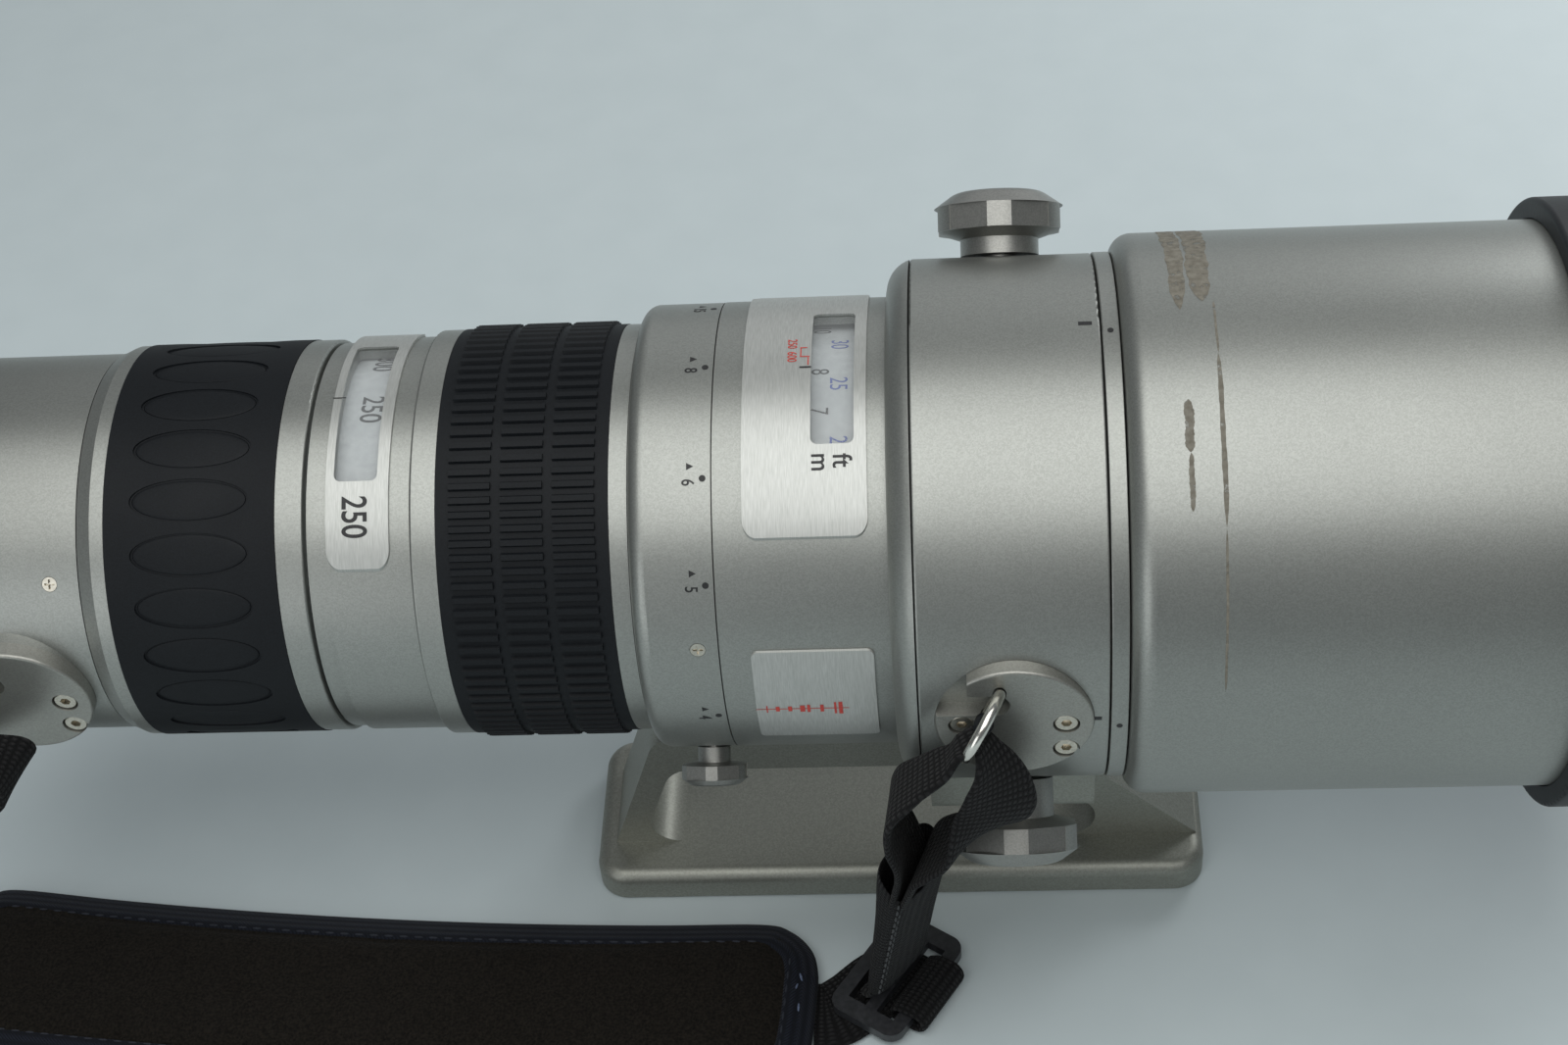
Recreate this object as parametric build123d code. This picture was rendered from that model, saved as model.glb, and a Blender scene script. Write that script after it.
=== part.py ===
from build123d import *
import os
from math import cos, hypot, pi, radians, sin

os.makedirs("parts", exist_ok=True)

# A long zoom lens for a camera, on its tripod collar and foot, with a shoulder strap.
# The origin is the mouth of the tripod thread, in the middle of the sole. +X points to the
# subject and +Z up. Most pieces are made about the optical axis, which lies axis_height over
# the sole, and are lifted there when they are written.
collar_height = 59.8         # from the sole to the collar's underside
barrel_roll = 2.4            # degrees that the barrel is turned in its collar, top to the near side

# Gaps between pieces
running_gap = 0.3            # between pieces that turn or slide on each other
seat_gap = 0.1               # between pieces that are fitted into each other
shaft_gap = 0.05             # between a knob's shaft and its hole
overrun = 1.0                # how far a cutting shape runs past what it cuts

# The structural tube, and how far each ring stands over the one that carries it
tube_outer = 41.5
rear_stand = 3.6
step_stand = 0.8
mid_stand = 5.3
zoom_grip_stand = 0.2
focus_stand = 6.7
focus_grip_stand = 0.9
limiter_stand = 11.0
housing_stand = 0.1
bearing_stand = 4.1
collar_wall = 4.2
index_stand = 0.2
front_stand = 4.3
cap_wall = 5.0
aperture_inset = 6.6

# Outer radii of the rings
rear_radius = tube_outer + rear_stand
step_radius = rear_radius + step_stand
aperture_radius = rear_radius - aperture_inset
mid_radius = tube_outer + mid_stand
zoom_rim_radius = mid_radius
zoom_grip_radius = zoom_rim_radius + zoom_grip_stand
focus_rim_radius = tube_outer + focus_stand
focus_grip_radius = focus_rim_radius + focus_grip_stand
limiter_radius = tube_outer + limiter_stand
housing_radius = limiter_radius + housing_stand
bearing_radius = housing_radius + bearing_stand
collar_radius = bearing_radius + running_gap + collar_wall
index_radius = collar_radius + index_stand
front_radius = collar_radius + front_stand
cap_radius = front_radius + cap_wall
axis_height = collar_height + collar_radius

# Lengths of the rings along the axis, from the collar backwards and forwards
collar_rear = 9.35
collar_length = 41.8
flange_length = 5.3
housing_length = 38.0
limiter_length = 18.75
focus_front_rim = 4.05
focus_grip_length = 38.8
focus_rear_rim = 5.75
mid_length = 19.05
step_length = 4.4
zoom_groove = 0.7
zoom_front_rim = 6.25
zoom_grip_length = 39.3
zoom_rear_rim = 6.5
rear_length = 47.0
taper_length = 6.0
aperture_length = 13.4
base_length = 3.5
mount_length = 2.5
throat_length = 5.5
index_length = 3.8
front_length = 128.45
cap_overlap = 32.5
cap_face = 5.0

# Stations on the axis
flange_front = collar_rear - running_gap
flange_rear = flange_front - flange_length
housing_rear = flange_rear - housing_length
limiter_front = housing_rear - running_gap
limiter_rear = limiter_front - limiter_length
focus_front = limiter_rear - running_gap
focus_grip_front = focus_front - focus_front_rim
focus_grip_rear = focus_grip_front - focus_grip_length
focus_rear = focus_grip_rear - focus_rear_rim
mid_front = focus_rear - running_gap
mid_rear = mid_front - mid_length
step_rear = mid_rear - step_length
zoom_front = step_rear - zoom_groove
zoom_grip_front = zoom_front - zoom_front_rim
zoom_grip_rear = zoom_grip_front - zoom_grip_length
zoom_rear = zoom_grip_rear - zoom_rear_rim
rear_front = zoom_rear - running_gap
rear_rear = rear_front - rear_length
taper_rear = rear_rear - taper_length
aperture_front = taper_rear - running_gap
aperture_rear = aperture_front - aperture_length
base_front = aperture_rear - running_gap
base_rear = base_front - base_length
mount_rear = base_rear - mount_length
throat_rear = mount_rear - throat_length
collar_front = collar_rear + collar_length
collar_middle = collar_rear + collar_length / 2
index_rear = collar_front + running_gap
index_front = index_rear + index_length
front_rear = index_front + running_gap
front_front = front_rear + front_length
cap_rear = front_front - cap_overlap

# Inside the structural tube, and the walls that lie round it
tube_wall = 2.5
tube_bore = tube_outer - tube_wall
tube_rear = rear_rear - taper_length / 3
housing_wall = 2.6
spigot_radius = housing_radius - housing_wall - seat_gap
spigot_length = 4.75
bearing_wall = 4.2
web_length = 3.0
bearing_reach = 5.0
housing_bore = spigot_radius + seat_gap
tongue_wall = 1.3
tongue_inner = spigot_radius - tongue_wall
tongue_length = 16.5
tongue_root = 16.0
limiter_bore = spigot_radius + running_gap
drum_outer = focus_rim_radius
drum_wall = 0.9
drum_front_gap = 5.35
drum_neck_inset = 1.8
drum_neck_outer = drum_outer - drum_neck_inset
drum_neck_length = 3.9
drum_step = 1.2
limiter_lip = drum_outer + running_gap
limiter_lip_length = 2.2
limiter_round = 3.6
focus_bore = tube_outer + running_gap
focus_seat_wall = 1.6
focus_seat = focus_rim_radius - focus_seat_wall
zoom_bore = tube_outer + running_gap
zoom_seat_wall = 1.9
zoom_seat = zoom_rim_radius - zoom_seat_wall
zoom_rear_slope = 1.5
zoom_slope_length = 3.4
zoom_drum_stand = 1.9
zoom_drum_outer = tube_outer + zoom_drum_stand
zoom_drum_wall = 1.1
zoom_drum_rear = 6.0
zoom_drum_front = 5.6
mid_wall = 3.0
mid_bore = mid_radius - mid_wall
mid_web = 5.0
rear_barrel_bore = tube_outer + seat_gap
edge_round = 0.5
front_round = 5.0
front_wall = 3.0
front_rear_wall = 6.0
flange_round = 7.5
flange_step = 4.0
flange_start = spigot_radius + flange_step

# Windows and plates on the barrel; the halves are degrees each side of a plate's middle
plate_lift = 0.05
plate_wall = 0.6
plate_corner = 3.0
window_wall = 1.6
window_drop = 0.2
window_gap = 0.1
window_corner = 1.5
window_lap = 0.4
distance_plate_front = 4.1
distance_plate_length = 27.4
distance_plate_half = 44.0
distance_window_front = 6.4
distance_window_length = 10.3
distance_window_half = 22.0
side_plate_front = 3.9
side_plate_length = 27.2
side_plate_half = 17.0
side_plate_angle = 90.0
zoom_plate_rear = 0.3
zoom_plate_length = 14.2
zoom_plate_half = 50.0
zoom_window_rear = 1.7
zoom_window_length = 10.6
zoom_window_half = 26.0

# Grips
oval_count = 24
oval_half_length = 13.6
oval_half_width = 5.0
oval_depth = 0.5
rib_count = 96
rib_height = 0.8
rib_bands = 3
rib_band_length = 9.4
rib_band_gap = 2.2
aperture_ribs = 48
aperture_rib_height = 0.7
aperture_rib_length = 7.0

# Fasteners
small_head = 1.7
small_head_depth = 1.1
small_shank = 0.8
small_shank_length = 1.0
cross_width = 0.5
cross_length = 2.3
cross_depth = 0.6
socket_head = 2.65
socket_head_depth = 2.2
socket_shank = 1.45
socket_shank_length = 2.6
socket_key = 1.25
socket_key_depth = 1.4
head_gap = 0.35
limiter_screw_place = 4.5
limiter_screw_angle = 72.3
rear_screw_place = 6.65
rear_screw_angle = 52.6
ring_screw_count = 3

# Strap lugs: flat-faced discs let into the ring that carries them, each with a hooked slot
lug_radius = 17.5
lug_edge = 0.7
lug_wall = 4.0
front_lug_lift = 1.1
rear_lug_lift = 3.2
front_lug_face = collar_radius + front_lug_lift
rear_lug_face = rear_radius + rear_lug_lift
rear_lug_place = 20.0
slot_half = 3.25
slot_back = 4.15
slot_up = 6.45
hook_back = 10.2
hook_drop = 0.9
slot_flare = 4.5
pair_forward = 11.4
pair_high = -0.5
pair_low = -9.1
single_back = 11.6
single_high = -0.2

# Wire links in the lugs: how far in they sit, and the directions of their plane
link_radius = 7.8
link_wire = 1.25
link_seat_depth = 1.4
link_normal_shares = (0.868, -0.365, -0.34)
link_out_shares = (-0.37, -0.93, 0.053)
link_down_shares = (-0.5, -0.64, -0.59)
guard_wall = 0.7
guard_arc = 64.0

# Clamping knobs of the collar
knob_angle_upper = -47.1
knob_angle_lower = 132.9
knob_neck = 9.2
knob_shaft = 4.0
knob_rim = 15.15
knob_under = 3.9
knob_cone = 1.7
knob_rim_height = 5.8
knob_crown = 3.6
knob_crown_inset = 5.0
lower_knob_rise = 5.1
knob_flats = 6
knob_flat_width = 10.0
knob_flat_depth = 1.0

# Clamping knob of the limiter ring
small_knob_place = 6.1
small_knob_angle = 130.5
small_neck = 3.85
small_shaft = 2.0
small_rim = 8.0
small_under = 3.6
small_cone = 0.6
small_rim_height = 3.3
small_crown = 1.6
small_crown_inset = 2.0
small_flat_width = 5.4
small_flat_depth = 0.55

# Foot
foot_length = 160.5
foot_width = 47.0
foot_thickness = 10.0
foot_corner = 8.0
foot_top_round = 3.5
sole_edge = 0.8
arm_width = 24.0
beam_bottom = 41.0
beam_top = 54.0
rear_arm_foot = 77.0
rear_arm_top = 60.5
rear_gap_foot = 68.5
rear_gap_top = 57.5
front_arm_foot = 78.5
front_arm_shoulder = 38.5
front_gap_foot = 62.0
front_gap_top = 34.0
gap_round = 8.0
arm_outer_round = 8.0
saddle_half_width = 27.0
saddle_top = 64.0
saddle_inset = 0.6
saddle_round = 4.0
foot_screw_forward = 12.0
foot_screw_side = 18.0
foot_screw_head = 4.2
foot_screw_head_depth = 5.0
foot_screw_shank = 2.5
foot_screw_reach = 19.4
foot_screw_key = 2.0
foot_screw_key_depth = 2.6
bush_radius = 7.0
bush_length = 8.0
large_thread_radius = 4.0           # tapping size of a 3/8 inch thread
small_thread_radius = 2.55          # tapping size of a 1/4 inch thread
small_thread_back = 32.0

# Camera end
mount_radius = 32.5
base_radius = 37.2
sleeve_radius = 33.7
throat_outer = 24.0
throat_inner = 21.5
claw_radius = 26.0
claw_length = 1.6
claw_count = 3
claw_angle = 60.0
mount_screw_count = 5
mount_screw_circle = 29.0
contact_count = 7
contact_circle = 28.9
contact_radius = 0.8
contact_pitch = 8.0
contact_length = 1.6
contact_lift = 0.25
frame_bore = 24.6
frame_lip_bore = 21.0
frame_lip = 1.2
frame_flange = 3.5

# Glass and its holders
filter_rim = 9.5
filter_bore = front_radius - filter_rim      # half of a 112 mm filter thread
filter_thread_length = 8.0
cell_length = 38.0
cell_step = 1.2
cell_lip_step = 2.8
cell_bore = filter_bore - cell_step
cell_lip_bore = cell_bore - cell_lip_step
cell_lip = 2.0
front_glass_drop = 12.5
front_glass_wall = 8.6
front_glass_bow = 3.6
second_glass_drop = 27.5
second_glass_wall = 6.5
second_glass_bow = 2.0
carriage_wall = 5.7
carriage_bore = tube_bore - running_gap - carriage_wall
carriage_lip = 2.0
carriage_lip_bore = carriage_bore - carriage_lip
focus_carriage_back = 19.35
focus_carriage_length = 35.0
variator_back = 135.35
variator_length = 24.0
compensator_back = 77.35
compensator_length = 18.0
group_wall_share = 0.3
group_bow_share = 0.1
iris_back = 209.35
iris_length = 12.0
iris_bore = 26.0
iris_wall = 1.6
blade_count = 9
blade_inner = 27.0
blade_wall = 0.25
blade_pitch = 0.6
blade_arc = 130.0
rear_glass_wall = 7.0
rear_glass_bow = 1.4
rear_glass_drop = 2.0

# Drop-in filter drawer
drawer_back = 40.5
drawer_wall = 6.0
drawer_radius = 26.0
drawer_glass = 22.0
drawer_glass_wall = 2.2
drawer_rail = 0.8
thumb_half_width = 6.0
thumb_lift = 2.6
thumb_wall = 3.0

# Strap: webbing, keeper, slider and pad, placed from the front link's lowest point
web_width = 20.0
web_neck = 7.0
web_wall = 1.8
web_gap = 0.3
leaf_spread = 16.0
leaf_drop = 53.0
strap_lean = 9.6
left_leaf_shares = ((-0.4, 0.06), (-0.75, 0.17), (-1.08, 0.34), (-1.1, 0.57), (-1.0, 0.83), (-0.99, 0.97))
right_leaf_shares = ((0.36, 0.04), (0.66, 0.12), (0.9, 0.28), (0.72, 0.47), (0.05, 0.7), (-0.68, 0.88),
    (-0.74, 0.97))
leaf_across_shares = (0.1, 1.0, 0)
keeper_across_shares = (0.545, 0.839, 0)
keeper_width = 21.0
keeper_wall = 7.0
keeper_foot_wall = 5.0
keeper_lean_share = 0.32
gather_back = 14.3
slider_back = 19.7
slider_in = 21.7
slider_length = 34.0
slider_width = 21.0
slider_wall = 3.0
slider_slot = 5.2
slider_rail = 3.2
slider_round = 4.0
slider_lift = 2.4
slider_turn = 57.0
adjuster_reach = 10.0
web_run = 5.0
pad_length = 234.0
pad_width = 50.0
pad_wall = 8.5
pad_corner = 13.0
pad_bow = 5.0
pad_front = 22.0
pad_side = 52.5
pad_turn = -4.2
pad_top_round = 2.5
binding_width = 5.0
binding_wall = 5.5
binding_round = 1.5
rear_web_loop = 66.0
rear_web_shares = (
    (-0.42, 0.06, 0.018), (-0.77, 0.18, 0.045), (-0.98, 0.33, 0.15), (-0.95, 0.5, 0.31),
    (-0.65, 0.68, 0.5), (-0.2, 0.84, 0.7), (0.28, 0.96, 0.87), (0.56, 1.0, 0.955),
)


def turned(outline, rounds=(), axis=Axis.X):
    """Turn a closed outline of (station, radius) points about an axis; rounds lists (point, radius)."""
    face = Polygon(*outline, align=None)
    for place, radius in rounds:
        corner = min(face.vertices(), key=lambda v: hypot(v.X - place[0], v.Y - place[1]))
        face = fillet(corner, radius)
    return revolve(face, axis, 360)


def ring(start, end, outer, inner, rounded=0):
    """A plain ring between two stations; rounded softens its two outer edges."""
    outline = ((start, inner), (end, inner), (end, outer), (start, outer))
    rounds = (((start, outer), rounded), ((end, outer), rounded)) if rounded else ()
    return turned(outline, rounds)


def around(angle, shape):
    """Turn a shape about the optical axis: 0 leaves it on top, 90 brings it to the near side."""
    return Rot(X=angle) * shape


def upright(shape, station, height, angle):
    """Stand a shape that is made on Z = 0 on the barrel at a station, a radius and an angle."""
    return around(angle, Pos(station, 0, height) * shape)


def patch(start, end, half_angle, outer, inner, corner):
    """A piece of a ring that lies over the top, with rounded corners as seen from above."""
    half_width = outer * sin(radians(half_angle))
    outline = RectangleRounded(end - start, 2 * half_width, corner)
    block = extrude(Pos((start + end) / 2, 0, 0) * outline, amount=outer + overrun)
    return turned(((start, inner), (end, inner), (end, outer), (start, outer))) & block


def post(radius, bottom, top):
    """A plain cylinder along Z between two heights."""
    return Pos(0, 0, (bottom + top) / 2) * Cylinder(radius, top - bottom)


def cross_screw():
    """Small cross-head screw, its head's top at Z = 0 and its shank down."""
    screw = post(small_head, -small_head_depth, 0)
    screw += post(small_shank, -small_head_depth - small_shank_length, -small_head_depth)
    for turn in (0, 90):
        screw -= Rot(Z=turn) * Box(cross_length, cross_width, 2 * cross_depth)
    return screw


def cross_hole():
    """What a cross-head screw needs cut for its head and shank."""
    hole = post(small_head + seat_gap, -small_head_depth, overrun)
    return hole + post(small_shank + seat_gap, -small_head_depth - small_shank_length - seat_gap, 0)


def socket_screw(head, head_depth, shank, shank_length, key, key_depth):
    """Socket-head screw, its head's top at Z = 0 and its shank down."""
    cap = chamfer(post(head, -head_depth, 0).edges().group_by(Axis.Z)[-1], head / 12)
    screw = cap + post(shank, -head_depth - shank_length, -head_depth)
    return screw - Pos(0, 0, -key_depth) * extrude(RegularPolygon(key, 6), amount=2 * key_depth)


def socket_hole(head, head_depth, shank, shank_length):
    """Counterbore and shank hole for a socket screw whose head's top is at Z = 0."""
    hole = post(head + head_gap, -head_depth, overrun)
    return hole + post(shank + seat_gap, -head_depth - shank_length - seat_gap, 0)


def lens_element(front, wall, radius, bow):
    """A round glass element; bow is how far the middle of each face stands out from its edge."""
    rear = front - wall
    curve = (radius ** 2 + bow ** 2) / (2 * bow)
    disc = Pos((front + rear) / 2, 0, 0) * Rot(Y=90) * Cylinder(radius, wall + 2 * bow)
    disc = disc & Pos(front + bow - curve, 0, 0) * Sphere(curve)
    return disc & Pos(rear - bow + curve, 0, 0) * Sphere(curve)


def ribbon(stations, wall):
    """A flat band through stations of (point, direction across, width), as ruled lofts."""
    points = [Vector(*point) for point, across, width in stations]
    faces = []
    for index, (point, across, width) in enumerate(stations):
        run = (points[min(index + 1, len(points) - 1)] - points[max(index - 1, 0)]).normalized()
        side = Vector(*across)
        side = (side - run * side.dot(run)).normalized()
        faces.append(Plane(origin=points[index], x_dir=side, z_dir=run) * Rectangle(width, wall))
    return loft(faces, ruled=True)


def cut_all(shape, cutters):
    """Cut each of several shapes out of one."""
    for cutter in cutters:
        shape = shape - cutter
    return shape


def group(shapes):
    """Several separate solids as one piece."""
    return Compound(children=[solid for shape in shapes for solid in shape.solids()])


# Pieces by the name of their file. The collar and barrel sides are made about the optical axis.
collar_side = {}
barrel_side = {}
sole_side = {}

# Strap lugs, their screws and the wire links


def disc_at(station, face, wall, radius):
    """A disc on the near side, from its flat face towards the axis."""
    return Pos(station, -face + wall / 2, 0) * Rot(X=90) * Cylinder(radius, wall)


def lug(station, face, wall):
    """A lug on the near side, with a slot that is open backwards and a hook over its mouth."""
    disc = disc_at(station, face, wall, lug_radius)
    disc = fillet(disc.edges().group_by(Axis.Y)[0], lug_edge)
    end = Pos(station - slot_back, -face, slot_up) * Rot(X=90) * Cylinder(slot_half, 4 * wall)
    length = lug_radius - slot_back
    slot = Pos(station - slot_back - length / 2, -face, slot_up) * Box(length, 4 * wall, 2 * slot_half)
    mouth_length = lug_radius - hook_back
    mouth_height = slot_flare + hook_drop
    mouth_place = slot_up + slot_half - hook_drop + mouth_height / 2
    mouth = Pos(station - hook_back - mouth_length / 2, -face, mouth_place)
    return disc - end - slot - mouth * Box(mouth_length, 4 * wall, mouth_height)


def lug_fasteners(station, face):
    """The screws of a lug at a station, and the holes that they need."""
    screws = []
    holes = []
    for forward, up in ((pair_forward, pair_high), (pair_forward, pair_low), (-single_back, single_high)):
        seat = Pos(station + forward, -face + head_gap, up) * Rot(X=90)
        screws.append(seat * socket_screw(socket_head, socket_head_depth, socket_shank,
                                          socket_shank_length, socket_key, socket_key_depth))
        holes.append(seat * socket_hole(socket_head, socket_head_depth, socket_shank, socket_shank_length))
    return screws, holes


def link_plane(station, face):
    """The plane of the link in a lug's slot; its X axis points at the link's lowest place."""
    seat = Vector(station - slot_back, -face + link_seat_depth, slot_up)
    centre = seat + Vector(*link_out_shares).normalized() * link_radius
    return Plane(origin=centre, x_dir=Vector(*link_down_shares), z_dir=Vector(*link_normal_shares))


rear_lug_station = rear_front - rear_lug_place
front_lug_screws, front_lug_holes = lug_fasteners(collar_middle, front_lug_face)
rear_lug_screws, rear_lug_holes = lug_fasteners(rear_lug_station, rear_lug_face)
front_link_plane = link_plane(collar_middle, front_lug_face)
rear_link_plane = link_plane(rear_lug_station, rear_lug_face)
link_torus = Torus(link_radius, link_wire)
link_relief = Torus(link_radius, link_wire + running_gap)
guard = Torus(link_radius, link_wire + seat_gap + guard_wall, major_angle=guard_arc)
guard = Rot(Z=-guard_arc / 2) * guard - Torus(link_radius, link_wire + seat_gap)
front_lug = cut_all(lug(collar_middle, front_lug_face, lug_wall), front_lug_holes)
rear_lug = cut_all(lug(rear_lug_station, rear_lug_face, lug_wall), rear_lug_holes)
collar_side["front_strap_lug"] = front_lug - front_link_plane * link_relief
collar_side["front_lug_screws"] = group(front_lug_screws)
collar_side["front_strap_ring"] = front_link_plane * link_torus
collar_side["front_ring_guard"] = front_link_plane * guard
barrel_side["rear_strap_lug"] = rear_lug - rear_link_plane * link_relief
barrel_side["rear_lug_screws"] = group(rear_lug_screws)
barrel_side["rear_strap_ring"] = rear_link_plane * link_torus

# Tripod collar: a cast ring with a flat for the lug and holes for knobs and screws
collar = ring(collar_rear, collar_front, collar_radius, bearing_radius + running_gap, edge_round)
collar -= disc_at(collar_middle, front_lug_face, lug_wall, lug_radius + seat_gap)
collar = cut_all(collar, front_lug_holes)
for knob_angle in (knob_angle_upper, knob_angle_lower):
    collar -= upright(post(knob_shaft + shaft_gap, bearing_radius - overrun, collar_radius + overrun),
                      collar_middle, 0, knob_angle)

# Foot: a sole plate, a bow with two arms round the handle gap, and a saddle under the collar
sole = extrude(RectangleRounded(foot_length, foot_width, foot_corner), amount=foot_thickness)
sole = fillet(sole.faces().sort_by(Axis.Z)[-1].edges(), foot_top_round)
sole = chamfer(sole.faces().sort_by(Axis.Z)[0].edges(), sole_edge)


def side_outline(points, rounds):
    """A closed outline of (station, height) points in the lens's middle plane, as a face."""
    face = Polygon(*points, align=None)
    for place, radius in rounds:
        corner = min(face.vertices(), key=lambda v: hypot(v.X - place[0], v.Y - place[1]))
        face = fillet(corner, radius)
    return Plane.XZ * face


saddle_rear = collar_rear + saddle_inset
saddle_front = collar_front - saddle_inset
bow_outer = (
    (-rear_arm_foot, foot_thickness / 2),
    (-rear_arm_top, beam_top),
    (saddle_rear, beam_top),
    (saddle_rear, saddle_top),
    (saddle_front, saddle_top),
    (saddle_front, front_arm_shoulder),
    (front_arm_foot, foot_thickness),
    (front_arm_foot, foot_thickness / 2),
)
bow_gap = (
    (-rear_gap_foot, foot_thickness),
    (-rear_gap_top, beam_bottom),
    (front_gap_top, beam_bottom),
    (front_gap_foot, foot_thickness),
)
bow_face = side_outline(bow_outer, ((bow_outer[1], arm_outer_round), (bow_outer[5], arm_outer_round)))
bow_face -= side_outline(bow_gap, [(point, gap_round) for point in bow_gap])
bow = extrude(bow_face, amount=arm_width / 2, both=True)
saddle = Pos(collar_middle, 0, (beam_bottom + saddle_top) / 2) * Box(
    saddle_front - saddle_rear, 2 * saddle_half_width, saddle_top - beam_bottom
)
saddle = fillet(saddle.edges().filter_by(Axis.X).group_by(Axis.Z)[0], saddle_round)
collar_space = Pos(collar_middle, 0, axis_height) * Rot(Y=90) * Cylinder(collar_radius + seat_gap,
    collar_length)
foot = sole + bow + saddle - collar_space
foot_screws = []
for forward in (-foot_screw_forward, foot_screw_forward):
    for side in (-foot_screw_side, foot_screw_side):
        seat = Pos(collar_middle + forward, side, beam_bottom + head_gap) * Rot(X=180)
        foot_screws.append(seat * socket_screw(foot_screw_head, foot_screw_head_depth, foot_screw_shank,
                                               foot_screw_reach, foot_screw_key, foot_screw_key_depth))
        hole = seat * socket_hole(foot_screw_head, foot_screw_head_depth, foot_screw_shank,
            foot_screw_reach)
        foot -= hole
        collar -= Pos(0, 0, -axis_height) * hole
bushes = []
for station, thread in ((0, large_thread_radius), (-small_thread_back, small_thread_radius)):
    bushes.append(Pos(station, 0, 0) * (post(bush_radius, 0, bush_length) - post(thread, 0, bush_length)))
    foot -= Pos(station, 0, 0) * post(bush_radius + seat_gap, 0, bush_length + seat_gap)
collar_side["tripod_collar"] = collar
sole_side["tripod_foot"] = foot
sole_side["foot_screws"] = group(foot_screws)
sole_side["foot_bushes"] = group(bushes)


def knob(neck, shaft, rim, under, cone, rim_height, crown, inset, width, depth, shaft_length):
    """A knob on Z = 0, where its neck starts: shaft below, then neck, cone, notched rim and crown."""
    rim_top = under + cone + rim_height
    body = turned(
        ((0, -shaft_length), (shaft, -shaft_length), (shaft, 0), (neck, 0), (neck, under),
         (rim - depth, under + cone), (rim, under + cone), (rim, rim_top), (rim - inset, rim_top + crown),
         (0, rim_top + crown)),
        (((rim - inset, rim_top + crown), inset),),
        Axis.Y,
    )
    body = Rot(X=90) * body
    notch = Pos(rim - depth / 2 + overrun / 2, 0, under + cone + rim_height / 2)
    notch = notch * Box(depth + overrun, width, rim_height)
    return cut_all(body, [Rot(Z=index * 360 / knob_flats) * notch for index in range(knob_flats)])


for side, knob_angle, rise in (("upper", knob_angle_upper, 0), ("lower", knob_angle_lower,
    lower_knob_rise)):
    shape = knob(knob_neck, knob_shaft, knob_rim, knob_under + rise, knob_cone, knob_rim_height, knob_crown,
                 knob_crown_inset, knob_flat_width, knob_flat_depth, collar_radius - bearing_radius)
    collar_side["collar_knob_" + side] = upright(shape, collar_middle, collar_radius + running_gap,
        knob_angle)

# Structural tube: a long bore for the moving groups, a web, and the bearing in the collar
main_tube = turned((
    (tube_rear, tube_bore), (flange_front + web_length, tube_bore),
    (flange_front + web_length, bearing_radius - bearing_wall),
    (front_rear + bearing_reach, bearing_radius - bearing_wall), (front_rear + bearing_reach,
        bearing_radius),
    (flange_front, bearing_radius), (flange_front, spigot_radius),
    (flange_rear - spigot_length, spigot_radius), (flange_rear - spigot_length, tube_outer), (tube_rear,
        tube_outer),
))

# Fixed shells of the barrel
flange_arc_front = (flange_rear + flange_round * (1 - cos(radians(45))),
    flange_start + flange_round * sin(radians(45)))
flange_centre = (flange_rear + flange_round, flange_start)
flange_top = flange_start + (flange_round ** 2 - (flange_front - flange_centre[0]) ** 2) ** (1 / 2)
collar_flange = revolve(make_face([
    Line((flange_front, spigot_radius + seat_gap), (flange_rear, spigot_radius + seat_gap)),
    Line((flange_rear, spigot_radius + seat_gap), (flange_rear, flange_start)),
    ThreePointArc((flange_rear, flange_start), flange_arc_front, (flange_front, flange_top)),
    Line((flange_front, flange_top), (flange_front, spigot_radius + seat_gap)),
]), Axis.X, 360)
tongue_rear = housing_rear - tongue_length
housing = turned((
    (tongue_rear, tongue_inner), (housing_rear + tongue_root, tongue_inner),
    (housing_rear + tongue_root, housing_bore), (flange_rear, housing_bore), (flange_rear, housing_radius),
    (housing_rear, housing_radius), (housing_rear, spigot_radius), (tongue_rear, spigot_radius),
))
mid_barrel = turned((
    (step_rear, mid_bore), (mid_front - mid_web, mid_bore), (mid_front - mid_web, tube_outer + seat_gap),
    (mid_front, tube_outer + seat_gap), (mid_front, mid_radius), (mid_rear, mid_radius),
    (mid_rear, step_radius), (step_rear, step_radius),
))
rear_barrel = turned((
    (tube_rear - seat_gap, rear_barrel_bore), (rear_front, rear_barrel_bore), (rear_front, rear_radius),
    (rear_rear, rear_radius), (taper_rear, aperture_radius), (taper_rear, sleeve_radius + seat_gap),
    (tube_rear - seat_gap, sleeve_radius + seat_gap),
))
front_barrel = turned((
    (front_rear, bearing_radius + seat_gap), (front_rear + front_rear_wall, bearing_radius + seat_gap),
    (front_rear + front_rear_wall, front_radius - front_wall), (front_front, front_radius - front_wall),
    (front_front, front_radius), (front_rear, front_radius),
), (((front_rear, front_radius), front_round), ((front_front, front_radius), edge_round)))
barrel_side["collar_flange"] = collar_flange
barrel_side["index_ring"] = ring(index_rear, index_front, index_radius, bearing_radius + seat_gap,
    edge_round / 2)
barrel_side["front_barrel"] = front_barrel


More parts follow.
